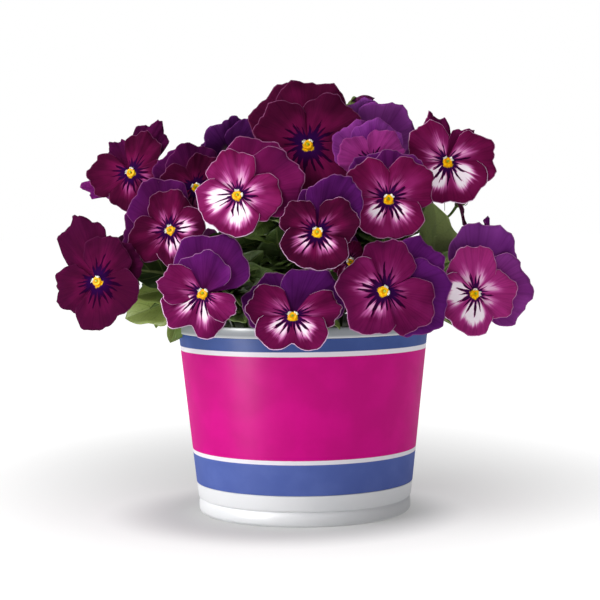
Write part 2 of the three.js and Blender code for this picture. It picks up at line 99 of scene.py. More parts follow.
CRIMP, VEIN_RISE = 0.6, 0.12


def bloom(eye, yaw, pitch, turn, size, violet=0.0, flare=0.0, light=0.4, tops=0.3, rim=0.3, own=None):
    """One bloom. violet and light set its colour, tops how violet its top petals are, flare its pale
    rays and rim its pale edge. own changes single petals, by their place in PETALS: degrees of turn,
    shares of length and of fan, the notch's depth, and how much more the petal leans."""
    return dict(eye=eye, yaw=yaw, pitch=pitch, turn=turn, size=size, own=own or {},
                violet=violet, flare=flare, light=light, tops=tops, rim=rim)


BLOOMS = [
    bloom((-124, -80, 154), -18, 4, -35, 1.03, violet=0.05, light=0.1, tops=0.1, rim=0.1,
          own={0: (40, 1.12, 0.62, -0.06), 1: (62, 0.86, 0.8), 2: (-20, 1.06, 0.95), 3: (0, 1.04, 1.06),
               4: (-2, 1.12, 0.85, 0.18)}),
    bloom((-106, -50, 220), -12, 10, -35, 0.98, flare=0.3, light=0.16, tops=0.25, rim=0.3,
          own={0: (30, 0.74, 0.5), 1: (40, 0.98, 0.55, -0.08), 2: (-4, 1, 0.9), 3: (6, 0.96, 0.8),
               4: (-2, 0.98, 0.9, 0.32)}),
    bloom((-80, -77, 184), -8, 5, -56, 0.95, flare=0.9, light=0.2, tops=0.6, rim=0.5,
          own={4: (-6, 1.02, 0.98, 0.34, 0.15)}),
    bloom((-37, -104, 204), -8, 8, 41, 1, flare=1.45, light=0.6, tops=0.15, rim=0.8,
          own={0: (16, 1.05), 1: (0, 1.12, 0.9)}),
    bloom((4, -72, 235), 0, 10, -6, 1.2, light=0.16, tops=0, rim=0.3,
          own={0: (4,), 1: (-18,), 2: (0, 1.05), 3: (0, 1.12), 4: (0, 1.06)}),
    bloom((51, -100, 201), 8, 5, 4, 1, flare=0.9, light=0.5, tops=0.7, rim=0.6,
          own={0: (0, 0.9), 1: (0, 0.94), 3: (0, 1.12)}),
    bloom((89, -66, 224), 15, 10, 12, 1.08, flare=1.3, light=0.5, tops=0.1, rim=0.8,
          own={0: (10, 0.82, 0.5, -0.12), 1: (14, 0.74, 0.6), 3: (18, 1.12), 4: (-14,)}),
    bloom((9, -118, 182), 0, 5, 10, 0.96, flare=0.75, light=0.12, tops=1, rim=0.7,
          own={0: (44, 0.9), 1: (0, 1.02, 0.85, -0.14), 2: (-10, 0.86, 0.9)}),
    bloom((48, -112, 147), 5, 0, 68, 1.14, violet=0.1, flare=0.6, light=0.45, tops=1, rim=0.5,
          own={0: (18, 1, 0.75), 1: (8, 1.05), 2: (-6, 0.95)}),
    bloom((104, -82, 144), 15, 0, 45, 1.02, flare=1.5, light=0.95, tops=1, rim=0.8,
          own={0: (12, 1.24, 0.95, -0.05), 1: (12, 1.12)}),
    bloom((-58, -112, 147), -5, 14, 5, 1, violet=0.1, flare=0.9, light=0.45, tops=1, rim=1,
          own={0: (40, 1.06, 1.1, 0, 0.15), 1: (-34, 0.7, 1.15, 0, 0.2), 2: (-22, 0.95, 0.8, 0, 0.2),
               3: (70, 0.92, 0.62, 0, 0.21), 4: (14, 1.08, 0.8, 0.26)}),
    bloom((-6, -110, 133), 0, 22, 0, 1, violet=0.05, flare=0.9, light=0.4, tops=1, rim=1,
          own={0: (-18, 0.98), 1: (20, 0.98, 1.05), 2: (-14, 0.98, 0.9), 3: (20, 1.08, 0.7),
               4: (0, 1.02, 1, 0.34)}),
    bloom((-46, -34, 232), -150, 30, 0, 0.82, violet=1, light=0.3, tops=1),
    bloom((44, -42, 232), 178, 15, 0, 1, violet=0.8, light=0.6, tops=1),
    bloom((128, -10, 158), 82, 8, -20, 1, flare=0.8, light=0.5, tops=0.9),
    bloom((108, 62, 150), 125, 6, 25, 1.02, light=0.1, tops=0.1),
    bloom((52, 104, 152), 160, 8, -35, 1, flare=0.7, light=0.4, tops=0.8),
    bloom((-12, 116, 146), 188, 5, 15, 1.04, violet=0.3, flare=0.3, light=0.2, tops=1),
    bloom((-74, 92, 152), 218, 6, -10, 0.98, flare=1, light=0.7, tops=0.7),
    bloom((-120, 34, 158), 255, 8, 30, 1.03, flare=0.5, light=0.2, tops=0.3),
    bloom((74, 48, 214), 125, 25, -15, 1, flare=0.4, light=0.5, tops=0.9),
    bloom((16, 78, 208), 170, 22, 20, 1.05, light=0.1, tops=0),
    bloom((-48, 58, 214), 215, 25, -25, 0.98, violet=0.2, flare=0.9, light=0.5, tops=1),
    bloom((-112, -14, 216), -30, 16, -4, 0.7, violet=0.5, flare=0.2, light=0.4, tops=0.6,
          own={2: (-32, 1.75, 0.5, -0.1)}),
    bloom((-2, 14, 250), 185, 55, 0, 1, violet=0.1, flare=0.6, light=0.35, tops=0.6),
    bloom((100, 8, 207), 85, 15, -8, 0.95, flare=0.3, light=0.15, tops=0.2),
    bloom((28, -91, 164), 25, 0, -30, 0.5, flare=1, light=0.4, tops=0.6),
    bloom((-65, -64, 210), 15, 8, -20, 0.8, flare=0.2, light=0.1, tops=0.4),
    bloom((42, -86, 223), 4, 8, -8, 0.8, violet=0.3, light=0.85, tops=0.9, own={4: (0, 0.7)}),
]

# dark makes a bud darker and its sepals shorter
BUDS = [
    dict(eye=(-9, -92, 203), yaw=-10, pitch=35, turn=0, size=0.6, dark=0.0),
    dict(eye=(112, 46, 204), yaw=100, pitch=40, turn=0, size=0.6, dark=0.6),
    dict(eye=(-60, 96, 192), yaw=215, pitch=35, turn=0, size=0.6, dark=0.3),
    dict(eye=(39, -28, 264), yaw=76, pitch=12, turn=0, size=0.6, dark=1.0),
]
FLOWERS = BLOOMS + BUDS

# A leafy stem leaves the soil at base from the pot's axis and ends at reach and at the height tip.
# leaf is a leaf of its own, seen in front, with its angles from the stem's azimuth and from level.
STEMS = [
    dict(azimuth=268, base=52, reach=82, tip=142, leaf=dict(along=0.97, turned=66, pitch=-18, length=32)),
    dict(azimuth=232, base=54, reach=84, tip=150,
         leaf=dict(along=0.97, turned=-59, pitch=-6, length=58, roll=58)),
    dict(azimuth=198, base=52, reach=82, tip=158, leaf=dict(along=0.66, turned=26, pitch=-12, length=48)),
    dict(azimuth=150, base=52, reach=80, tip=146),
    dict(azimuth=96, base=52, reach=82, tip=142),
    dict(azimuth=40, base=52, reach=80, tip=146),
    dict(azimuth=350, base=52, reach=84, tip=150,
         leaf=dict(along=0.97, turned=-56, pitch=66, length=60, roll=56)),
    dict(azimuth=308, base=54, reach=84, tip=144, leaf=dict(along=0.92, turned=4, pitch=-36, length=30)),
    dict(azimuth=250, base=24, reach=52, tip=196),
    dict(azimuth=10, base=24, reach=54, tip=198),
    dict(azimuth=120, base=24, reach=50, tip=196),
]

# Where a leaf is tried along every stem, and the shape that all leaves have. stalk is the half width
# of a leaf's own stalk, teeth a count along its edge, tooth their depth, and the rest are shares.
LEAF_PLACES = [
    dict(along=0.42, turned=-70, pitch=0, length=44),
    dict(along=0.52, turned=62, pitch=8, length=40),
    dict(along=0.66, turned=8, pitch=-12, length=42),
    dict(along=0.78, turned=-48, pitch=20, length=38),
    dict(along=0.9, turned=52, pitch=34, length=36),
    dict(along=1, turned=-10, pitch=58, length=34),
]
LEAF = dict(half=0.25, fold=0.35, droop=0.22, petiole=0.22, stalk=0.9, teeth=3.6, tooth=0.1)
LEAF_VARIES = dict(azimuth=30, pitch=16, roll=50, length=0.3)
LEAF_SHORTEST = 0.85
LEAF_CLEAR = 5
LEAF_LOWEST = 104
RIM_CLEAR = dict(above=4, beside=5)
BLOOM_CLEAR = dict(r=35, front=9, back=-12)

# How many leaves are tried inside the plant round each stem, and the share of a bloom's room that
# they keep out of
INNER_LEAVES = [30, 80, 70] + [30] * 5 + [120, 80, 80]
INNER_CLEAR = 0.84

# More leaves that show between the blooms, by stem. tone runs from dark (0 and less), a painted shade, to
# sunlit (2), a painted light.
SMALL_LEAVES = {
    0: [dict(along=0.97, turned=50, pitch=-4, length=27, roll=50),
        dict(along=0.97, turned=62, pitch=-28, length=30),
        dict(along=0.95, turned=74, pitch=-50, length=30, roll=70)],
    1: [dict(along=0.95, turned=-58, pitch=-13, length=66, roll=62, tone=1.4),
        dict(along=0.95, turned=-55, pitch=22, length=64, roll=50, tone=0.1),
        dict(along=0.9, turned=-62, pitch=8, length=66, roll=60, tone=-0.2)],
    2: [dict(along=0.9, turned=30, pitch=-68, length=44, roll=70)],
    6: [dict(along=0.95, turned=-64, pitch=-56, length=25)],
    8: [dict(along=1, turned=-60, pitch=-5, length=42, roll=60),
        dict(along=1, turned=-75, pitch=-25, length=40, roll=50)],
}
# SUNLIT_TONE is the tone of a leaf painted as sunlit, a painted light
SMALL_LEAF_TONE, SUNLIT_TONE = 0.8, 1.3

# Where each kind of piece starts in the fixed numbers that vary it
TINT_SEED, LEAF_SEED, INNER_SEED, SOIL_SEED, SMALL_SEED = 900, 1000, 5000, 8000, 9000


def draw(n):
    """A fixed number from 0 to 1 for each whole number."""
    raised = math.sin(n * 12.9898 + 4.1414) * 43758.5453
    return raised - math.floor(raised)


def on_curve(points, t):
    """A point of the centripetal Catmull-Rom curve through points, t from 0 to 1."""
    last = len(points) - 1
    span = min(int(t * last), last - 1)
    w = t * last - span
    p1, p2 = points[span], points[span + 1]
    p0 = points[span - 1] if span else 2 * p1 - p2
    p3 = points[span + 2] if span + 2 <= last else 2 * p2 - p1
    d0, d1, d2 = ((b - a).length ** 0.5 for a, b in ((p0, p1), (p1, p2), (p2, p3)))
    leave = ((p1 - p0) / d0 - (p2 - p0) / (d0 + d1) + (p2 - p1) / d1) * d1
    arrive = ((p2 - p1) / d1 - (p3 - p1) / (d1 + d2) + (p3 - p2) / d2) * d1
    bend = -3 * p1 + 3 * p2 - 2 * leave - arrive
    return p1 + leave * w + bend * w ** 2 + (2 * p1 - 2 * p2 + leave + arrive) * w ** 3


def samples_of(points, count):
    return [on_curve(points, i / count) for i in range(count + 1)]


def body_radius(z):
    """The outer radius of the pot's tapered side, and of its label, at the height z."""
    (low_r, low_z), (high_r, high_z) = BODY_FOOT, BODY_TOP
    return low_r + (high_r - low_r) * (z - low_z) / (high_z - low_z)


def inner_radius(z):
    return body_radius(z) - LABEL_THICK - GAP - WALL


def bloom_matrix(flower):
    """The flower's own axes: X to the viewer's right, Y to its top petals and Z the way it faces."""
    yaw, pitch, turn = (math.radians(flower[key]) for key in ("yaw", "pitch", "turn"))
    face = Vector((math.sin(yaw) * math.cos(pitch), -math.cos(yaw) * math.cos(pitch), math.sin(pitch)))
    level = Vector((math.cos(yaw), math.sin(yaw), 0))
    rise = face.cross(level)
    up = rise * math.cos(turn) + level * math.sin(turn)
    right = level * math.cos(turn) - rise * math.sin(turn)
    matrix = Matrix((right, up, face)).transposed().to_4x4()
    matrix.translation = Vector(flower["eye"])
    return matrix


def petal_of(flower, index, k):
    """One petal of one bloom, with its small seeded differences."""
    made = dict(PETALS[k])
    seed = 100 * index + 10 * k

    def vary(key, item):
        return PETAL_VARIES[key] * (draw(seed + item) - 0.5)

    own = flower["own"].get(k, ())
    turn, length, fan, notch, lean = own + (0, 1, 1, None, 0)[len(own):]
    if notch is None:
        notch = LIP_NOTCH if made["kind"] == "lip" else 0
    made["notch"] = notch
    made["length"] *= flower["size"] * length * (1 + vary("length", 1))
    made["turn"] += turn + vary("turn", 2)
    made["fan"] *= fan
    made["lean"] += lean + vary("lean", 3)
    made["curl"] += vary("curl", 4)
    made["phase"] = 2 * math.pi * draw(seed + 5)
    made["ripples"] += vary("ripples", 6)
    made["ruffle"] *= flower["size"]
    return made


def petal_reach(petal, u):
    """How far the edge is from the root, in the direction u from its left side (-1) to its right (1)."""
    round_edge = math.cos(u * math.radians(EDGE_ANGLE)) ** FULLNESS[petal["kind"]]
    notch = petal["notch"] * math.exp(-((u / NOTCH_WIDTH) ** 2))
    lobes = LOBE_DEPTH * math.sin(3.1 * math.pi * u + petal["phase"])
    nicks = NICK_DEPTH * math.sin(7.3 * math.pi * u - petal["phase"])
    return petal["length"] * (round_edge - notch + lobes + nicks)


def petal_point(petal, u, v):
    """A point of the petal in the bloom's axes, from its root (v 0) to its edge (v 1)."""
    r = ROOT_RADIUS + (petal_reach(petal, u) - ROOT_RADIUS) * v
    share = r / petal["length"]
    angle = math.radians(petal["turn"] + u * petal["fan"])
    ruffle = petal["ruffle"] * share ** 3 * math.sin(petal["ripples"] * math.pi * u + petal["phase"])
    crimp = CRIMP * share ** 4 * math.sin(9 * math.pi * u + 2 * petal["phase"] + 1.5 * math.sin(5 * u))
    r *= 1 + FINE_NICK_DEPTH * share ** 4 * math.sin(21 * math.pi * u + 3 * petal["phase"])
    veins = VEIN_RISE * share * math.sin(17 * math.pi * u) * (1 - share)
    cupped = petal["root"] + petal["lean"] * r + petal["curl"] * petal["length"] * share ** 2
    return Vector((r * math.sin(angle), r * math.cos(angle), cupped + ruffle + crimp + veins))


def stem_points(stem):
    """The points that a leafy stem's curve runs through, from below the soil to its tip."""
    angle = math.radians(stem["azimuth"])

    def at(out, rise):
        r = stem["base"] + out * (stem["reach"] - stem["base"])
        z = SOIL_TOP + rise * (stem["tip"] - SOIL_TOP)
        return Vector((r * math.cos(angle), r * math.sin(angle), z))

    foot = at(0, 0)
    foot.z = SOIL_TOP - STEM_DEPTH
    return [foot, at(0, 0.03), at(0.12, 0.35), at(0.5, 0.75), at(1, 1)]


def stem_of(flower):
    """The leafy stem that carries the flower: the one whose tip is nearest to its back."""
    back = bloom_matrix(flower) @ Vector((0, 0, -BLOOM_BACK))
    away = [(on_curve(stem_points(stem), 1) - back).length for stem in STEMS]
    return away.index(min(away))


def stalk_points(flower, stem, order):
    """A flower's stalk, from its place on the stem, in a low arch, to the cup behind the flower."""
    start = on_curve(stem_points(stem), 0.95 - 0.12 * (order % 4))
    matrix = bloom_matrix(flower)
    end = matrix @ Vector((0, 0, CALYX_FRONT - STALK_INTO_CUP))
    neck = matrix @ Vector((0, 0, CALYX_FRONT - NECK_BACK)) + Vector((0, 0, -NECK_SAG))
    middle = start.lerp(neck, 0.5) + Vector((0, 0, STALK_ARCH))
    return [start, middle, neck, end]


OWNERS = [stem_of(flower) for flower in FLOWERS]
STALKS = [
    [stalk_points(flower, stem, order)
     for order, flower in enumerate(f for f, owner in zip(FLOWERS, OWNERS) if owner == index)]
    for index, stem in enumerate(STEMS)
]
INTO_FLOWER = [(bloom_matrix(flower).inverted(), BLOOM_CLEAR["r"] * flower["size"]) for flower in FLOWERS]


def blade_share(v):
    """How far v is along the blade, after the leaf's own stalk."""
    return max(0.0, (v - LEAF["petiole"]) / (1 - LEAF["petiole"]))


def leaf_point(leaf, v, s):
    """A point of a leaf: v from the stem (0) to its tip (1), s from its left edge (-1) to its right."""
    blade = blade_share(v)
    round_edge = max(0.0, math.sin(math.pi * blade ** 0.8)) ** 0.75 if v >= LEAF["petiole"] else 0
    teeth = 1 + LEAF["tooth"] * math.cos(2 * math.pi * LEAF["teeth"] * (v - 0.36))
    wide = LEAF["stalk"] * (1 - blade) + LEAF["half"] * leaf["length"] * round_edge * teeth
    lift = LEAF["fold"] * abs(s) * wide - LEAF["droop"] * leaf["length"] * v * v
    return leaf["root"] + leaf["along"] * leaf["length"] * v + leaf["side"] * s * wide + leaf["up"] * lift


def leaf_at(stem, place, seed):
    """A leaf at its place on the stem, with its root, its own axes and its length."""
    azimuth = math.radians(stem["azimuth"] + place["turned"] + LEAF_VARIES["azimuth"] * (draw(seed) - 0.5))
    pitch = math.radians(place["pitch"] + LEAF_VARIES["pitch"] * (draw(seed + 1) - 0.5))
    level = math.cos(pitch)
    along = Vector((math.cos(azimuth) * level, math.sin(azimuth) * level, math.sin(pitch)))
    roll = math.radians(place.get("roll", LEAF_VARIES["roll"] * (draw(seed + 3) - 0.5)))
    side = Matrix.Rotation(-roll, 3, along) @ Vector((math.sin(azimuth), -math.cos(azimuth), 0))
    root = on_curve(stem_points(stem), place["along"])
    length = place["length"] * (LEAF_SHORTEST + LEAF_VARIES["length"] * draw(seed + 2))
    return dict(root=root, along=along, side=side, up=side.cross(along), seed=seed, length=length)


def leaf_samples(leaf):
    return [leaf_point(leaf, v, s) for v in (0.15, 0.3, 0.45, 0.6, 0.75, 0.9, 1) for s in (-1, 0, 1)]


def in_bloom(point, share=1.0):
    """Whether the point is in the round slab that a flower's petals need, made share as wide."""
    for into, wide in INTO_FLOWER:
        local = into @ point
        level = BLOOM_CLEAR["back"] < local.z < BLOOM_CLEAR["front"]
        if level and math.hypot(local.x, local.y) < wide * share:
            return True
    return False


def in_pot(point):
    """Whether a leaf at the point would be in the pot or would touch its rim."""
    if point.z < LEAF_LOWEST:
        return True
    low = point.z < POT_HEIGHT + RIM_CLEAR["above"]
    return low and math.hypot(point.x, point.y) < RIM_RADIUS + RIM_CLEAR["beside"]


def all_leaves():
    """The leaves of every stem, without those that would cross something. A stem's first leaf is
    painted as sunlit, a painted light, and so is its seventh."""
    taken = []
    for index, stem in enumerate(STEMS):
        for curve in [stem_points(stem)] + STALKS[index]:
            taken += [(point, index) for point in samples_of(curve, CLEAR_STEPS)]
    leaves = []
    for index, stem in enumerate(STEMS):
        own = []
        places = ([stem["leaf"]] if "leaf" in stem else []) + LEAF_PLACES
        for k, place in enumerate(places):
            leaf = leaf_at(stem, place, LEAF_SEED + 60 * index + 10 * k)
            leaf["sunlit"] = k % len(LEAF_PLACES) == 0
            samples = leaf_samples(leaf)
            if any(in_bloom(p) or in_pot(p) for p in samples):
                continue
            if any((p - q).length < LEAF_CLEAR for q, other in taken if other != index for p in samples):
                continue
            taken += [(point, index) for point in samples]
            own.append(leaf)
        leaves.append(own)
    return leaves


LEAVES = all_leaves()


def grey(share):
    return (share, share, share, 1.0)


def rgb(red, green, blue):
    """A colour given as it shows on a screen, 0 to 255, as linear light."""
    shares = (channel / 255 for channel in (red, green, blue))
    return tuple(c / 12.92 if c < 0.04045 else ((c + 0.055) / 1.055) ** 2.4 for c in shares) + (1.0,)


class Value:
    """A shader socket that takes part in sums."""

    def __init__(self, tree, socket):
        self.tree, self.socket = tree, socket

    def maths(self, operation, *items):
        node = self.tree.nodes.new("ShaderNodeMath")
        node.operation = operation
        for slot, item in zip(node.inputs, items):
            feed(self.tree, slot, item)
        return Value(self.tree, node.outputs[0])

    def __add__(self, other):
        return self.maths("ADD", self, other)

    def __sub__(self, other):
        return self.maths("SUBTRACT", self, other)

    def __rsub__(self, other):
        return self.maths("SUBTRACT", other, self)

    def __mul__(self, other):
        return self.maths("MULTIPLY", self, other)

    def __truediv__(self, other):
        return self.maths("DIVIDE", self, other)

    def __pow__(self, other):
        return self.maths("POWER", self, other)

    __radd__ = __add__
    __rmul__ = __mul__

    def sine(self):
        return self.maths("SINE", self)

    def size(self):
        """How far the value is from zero."""
        return self.maths("ABSOLUTE", self)

    def step(self, low, high):
        """0 below low, 1 above high, and smooth between them."""
        node = self.tree.nodes.new("ShaderNodeMapRange")
        node.interpolation_type = "SMOOTHSTEP"
        for name, item in (("Value", self), ("From Min", low), ("From Max", high)):
            feed(self.tree, node.inputs[name], item)
        return Value(self.tree, node.outputs[0])


def feed(tree, slot, item):
    """Links a value to a socket, or sets a plain number or colour on it."""
    if isinstance(item, Value):
        tree.links.new(item.socket, slot)
    else:
        slot.default_value = item


class Shade:
    """A material on one Principled shader, whose constant sockets are given by name."""

    def __init__(self, name, **constants):
        self.material = bpy.data.materials.new(name)
        self.material.use_nodes = True
        self.tree = self.material.node_tree
        self.shader = self.tree.nodes["Principled BSDF"]
        for key, item in constants.items():
            self.shader.inputs[key.replace("_", " ")].default_value = item

    def node(self, kind, output, settings=None, **items):
        """Any other node: its settings are set first, then the values or links of its sockets."""
        node = self.tree.nodes.new(kind)
        for key, item in (settings or {}).items():
            setattr(node, key, item)
        for key, item in items.items():
            feed(self.tree, node.inputs[key.replace("_", " ")], item)
        return Value(self.tree, node.outputs[output])

    def split(self, vector):
        return [self.node("ShaderNodeSeparateXYZ", axis, Vector=vector) for axis in "XYZ"]

    def uv(self):
        """The place on a sheet, across (0 to 1) and from its root (0) to its edge (1)."""
        return self.split(self.node("ShaderNodeTexCoord", "UV"))[:2]

    def place(self):
        """The point's place in millimetres."""
        return [axis * 1000 for axis in self.split(self.node("ShaderNodeTexCoord", "Object"))]

    def mark(self, name):
        """A number that add_sheet has written on the mesh."""
        return self.node("ShaderNodeAttribute", "Fac", dict(attribute_name=name))

    def noise(self, x, y, z, scale=1.0, detail=2.0, roughness=0.5):
        vector = self.node("ShaderNodeCombineXYZ", "Vector", X=x, Y=y, Z=z)
        return self.node("ShaderNodeTexNoise", 0, Vector=vector, Scale=scale, Detail=detail,
                         Roughness=roughness)

    def mix(self, share, first, second):
        node = self.tree.nodes.new("ShaderNodeMix")
        node.data_type = "RGBA"
        for slot, item in ((0, share), (6, first), (7, second)):
            feed(self.tree, node.inputs[slot], item)
        return Value(self.tree, node.outputs[2])

    def finish(self, colour, height=None, strength=0.3, depth=0.3, roughness=None):
        """Sets what changes over the surface: its colour, bumps depth millimetres deep, its roughness."""
        feed(self.tree, self.shader.inputs["Base Color"], colour)
        if roughness is not None:
            feed(self.tree, self.shader.inputs["Roughness"], roughness)
        if height is not None:
            bump = self.node("ShaderNodeBump", 0, Height=height, Strength=strength, Distance=depth * MM)
            feed(self.tree, self.shader.inputs["Normal"], bump)
        return self.material


MAROON, WINE, MAGENTA = rgb(68, 12, 42), rgb(110, 18, 68), rgb(164, 46, 122)
DEEP_VIOLET, VIOLET, LILAC = rgb(50, 10, 54), rgb(94, 28, 110), rgb(144, 68, 160)
BLOTCH, BLOTCH_BLUE = rgb(28, 2, 34), rgb(36, 8, 66)
PINK, PALE, PALE_EDGE = rgb(204, 96, 170), rgb(252, 238, 248), rgb(240, 200, 236)
YOLK = rgb(252, 190, 0)
BACK_PALE, BACK_ROOT = rgb(160, 96, 146), rgb(190, 180, 150)
BACK_LIGHTER = 0.25


def petal_body(shade, u, v, seed, violet, light):
    """The petal's own colour, clouded and finely veined. It runs from maroon to magenta and is darker
    towards the edge, or it is violet and lighter towards the edge."""
    cloud = shade.noise(u * 1.7, v * 1.5, seed)
    vein = shade.noise(u * 26, v * 1.1, seed + 3.0, detail=3.0)
    tone = light + (cloud - 0.5) * 0.8
    outer = v - 0.6
    red_tone, tone = tone - outer * 0.4, tone + outer * 0.6
    red = shade.mix(red_tone.step(0.0, 0.45), MAROON, WINE)
    red = shade.mix(red_tone.step(0.3, 1.05), red, MAGENTA)
    blue = shade.mix((tone + 0.2).step(0.0, 0.8), DEEP_VIOLET, VIOLET)
    blue = shade.mix((tone - 0.5).step(0.0, 0.7), blue, LILAC)
    body = shade.mix(violet, red, blue)
    dark = shade.mix(0.5, body, BLOTCH)
    return shade.mix((vein - 0.45).step(0.0, 0.22) * 0.42, body, dark), vein


def petal_front(name, reach, rays, pale, pale_to, yolk, edge_share):
    """A petal's front. reach is how far the dark rays run out from the eye, rays sets how many there
    are, pale how strong the pale flare round them is, pale_to how far it runs, yolk how far the yellow
    runs and edge_share how strong the pale edge is."""
    shade = Shade(name, Roughness=0.6, Specular_IOR_Level=0)
    across, v = shade.uv()
    u = across * 2.0 - 1.0
    seed, violet, flare, light, rim = map(shade.mark, ("seed", "violet", "flare", "light", "rim"))
    body, vein = petal_body(shade, u, v, seed, violet, light)

    # The rays, which end unevenly, and the flare, which starts where they end
    sway = shade.noise(u * 2.5, v * 2.2, seed + 11.0)
    uneven = shade.noise(u * 4.0, 0.0, seed + 17.0)
    thin = shade.noise(u * 17, v * 0.8, seed + 23.0, detail=3.0)
    spike = ((u * rays * math.pi + sway * 9.0 + seed).sine() * 0.5 + 0.5) ** 1.8
    end = (0.66 - flare * 0.18 + spike * uneven * 1.1 + (thin - 0.5) * 1.1) * reach * (1.1 - u * u * 0.3)
    lobes = 1.0 - ((u.size() - 0.5) * 2.4) ** 2.0 * 0.75
    start = (v - end).step(-0.03, 0.1)
    ragged = (thin - 0.5) * 0.45 + (sway - 0.5) * 0.3
    stop = 1.0 - (v + ragged + u * u * 0.1 - flare * 0.15).step(pale_to - 0.4, pale_to)
    glow = start * stop * flare * pale * lobes.step(0.0, 1.0)
    colour = shade.mix(glow.step(0.0, 0.55), body, PINK)
    colour = shade.mix(glow.step(0.3, 0.95), colour, PALE)
    blotch = shade.mix((v - 0.1).step(0.0, 0.3), BLOTCH_BLUE, BLOTCH)
    colour = shade.mix((end - v).step(-0.015, 0.03) * 0.93, colour, blotch)
    if yolk:
        near = (yolk - v + (thin - 0.5) * 0.1).step(0.0, 0.03)
        colour = shade.mix(near * (1.0 - (u.size() - 0.5).step(0.0, 0.2)), colour, YOLK)

    # The pale edge, stronger in some stretches than in others
    patchy = shade.noise(u * 2.6, 0.0, seed + 31.0).step(0.25, 0.6) * 0.6 + 0.4
    edge = (v + (vein - 0.5) * 0.02 - 0.98).step(0.0, 0.012) * patchy
    colour = shade.mix(edge * rim * edge_share, colour, shade.mix(rim * edge_share, PINK, PALE_EDGE))
    return shade.finish(colour, height=vein, strength=0.4, depth=0.3)


def petal_back():
    """A petal's back: its own colour, lighter and greyer, and greenish at the root."""
    shade = Shade("petal_back", Roughness=0.65, Specular_IOR_Level=0)
    across, v = shade.uv()
    u = across * 2.0 - 1.0
    seed, violet, light = map(shade.mark, ("seed", "violet", "light"))
    body, vein = petal_body(shade, u, v, seed, violet, light + BACK_LIGHTER)
    pale = shade.mix(0.25 - violet * 0.22, body, BACK_PALE)
    colour = shade.mix((0.35 - v).step(0.0, 0.3) * 0.5, pale, BACK_ROOT)
    return shade.finish(colour, height=vein, strength=0.4, depth=0.3)


PETAL_KINDS = ["lip", "side", "top"]
PETAL_SLOTS = [
    petal_front("petal_lip", reach=0.45, rays=9.0, pale=1.0, pale_to=0.66, yolk=0.13, edge_share=1.2),
    petal_front("petal_side", reach=0.35, rays=6.0, pale=0.42, pale_to=0.52, yolk=0, edge_share=0.75),
    petal_front("petal_top", reach=0.08, rays=3.0, pale=0.0, pale_to=0.1, yolk=0, edge_share=0.5),
] + [petal_back()] * len(PETAL_KINDS)
# LEAF_SUNLIT is a painted light: the pale green that sunlit leaves are painted with
LEAF_SUNLIT, LEAF_MIDRIB = rgb(192, 208, 112), rgb(150, 168, 100)


def leaf_material(name, dark, light, roughness):
    """A leaf's side: clouded from dark to light by its tone, with slanting ribs and a pale midrib."""
    shade = Shade(name, Roughness=roughness, Specular_IOR_Level=0.1)
    across, v = shade.uv()
    s = (across * 2.0 - 1.0).size()
    seed, tone = map(shade.mark, ("seed", "tone"))
    cloud = shade.noise(across * 2.2, v * 3, seed)
    cells = shade.noise(across * 26, v * 44, seed, detail=3.0)
    slant = ((v * 7.5 - s * 1.7) * (2 * math.pi)).sine()
    ribs = slant.step(0.82, 1.0) * (1.0 - (s - 0.55).step(0.0, 0.4))
    midrib = 1.0 - (s - 0.03).step(0.0, 0.06)
    body = shade.mix((tone + (cloud - 0.5) * 0.9).step(0.0, 1.0), dark, light)
    # Painted light: a tone above 1 paints the leaf as sunlit
    body = shade.mix((tone - 1.0).step(0.0, 1.0), body, LEAF_SUNLIT)
    body = shade.mix((cells - 0.45).step(0.0, 0.3) * 0.22, body, dark)
    colour = shade.mix(ribs * 0.28, body, light)
    colour = shade.mix(midrib * 0.6, colour, LEAF_MIDRIB)
    height = 1.0 - ribs * 0.7 - midrib + cells * 0.25
    return shade.finish(colour, height=height, strength=0.5, depth=0.5)


LEAF_SLOTS = [
    leaf_material("leaf_front", rgb(38, 58, 22), rgb(128, 152, 78), roughness=0.5),
    leaf_material("leaf_back", rgb(74, 98, 48), rgb(138, 160, 96), roughness=0.7),
]


def stem_material():
    """Streaked green, with a reddish flush in places."""
    shade = Shade("stem", Roughness=0.5, Specular_IOR_Level=0.15)
    x, y, z = shade.place()
    streak = shade.noise(x * 0.5, y * 0.5, z * 0.06, detail=3.0)
    colour = shade.mix(streak.step(0.3, 0.7), rgb(62, 84, 34), rgb(112, 136, 62))
    flush = (shade.noise(x, y, z, scale=0.06) - 0.55).step(0.0, 0.2)
    colour = shade.mix(flush * 0.4, colour, rgb(92, 44, 60))
    return shade.finish(colour, height=streak, strength=0.3, depth=0.3)


def eye_material(name, low, high, roughness):
    shade = Shade(name, Roughness=roughness, Specular_IOR_Level=0.05)
    x, y, z = shade.place()
    grain = shade.noise(x, y, z, scale=0.8, detail=4.0)
    return shade.finish(shade.mix(grain.step(0.3, 0.7), low, high), height=grain, strength=0.3, depth=0.2)


STEM = stem_material()
EYE_SLOTS = [
    eye_material("throat", rgb(244, 150, 0), rgb(255, 214, 10), roughness=0.55),
    eye_material("beard", rgb(232, 226, 214), rgb(255, 255, 250), roughness=0.6),
    eye_material("stigma", rgb(120, 150, 20), rgb(196, 206, 60), roughness=0.4),
]
THROAT_SLOT, BEARD_SLOT, STIGMA_SLOT = range(3)


def add_sheet(bm, columns, rows, place, slot=0, **marks):
    """Adds a grid, each of whose points place(u, v) puts, u from -1 to 1 and v from 0 to 1. marks are
    numbers written on its points for the shader."""
    bm.loops.layers.uv.verify()
    layers = {key: bm.verts.layers.float.get(key) or bm.verts.layers.float.new(key) for key in marks}
    made = bmesh.ops.create_grid(bm, x_segments=columns, y_segments=rows, size=1, calc_uvs=True)["verts"]
    for vert in made:
        vert.co = place(vert.co.x, (vert.co.y + 1) / 2)
        for key, item in marks.items():
            vert[layers[key]] = item
    for face in {face for vert in made for face in vert.link_faces}:
        face.material_index = slot


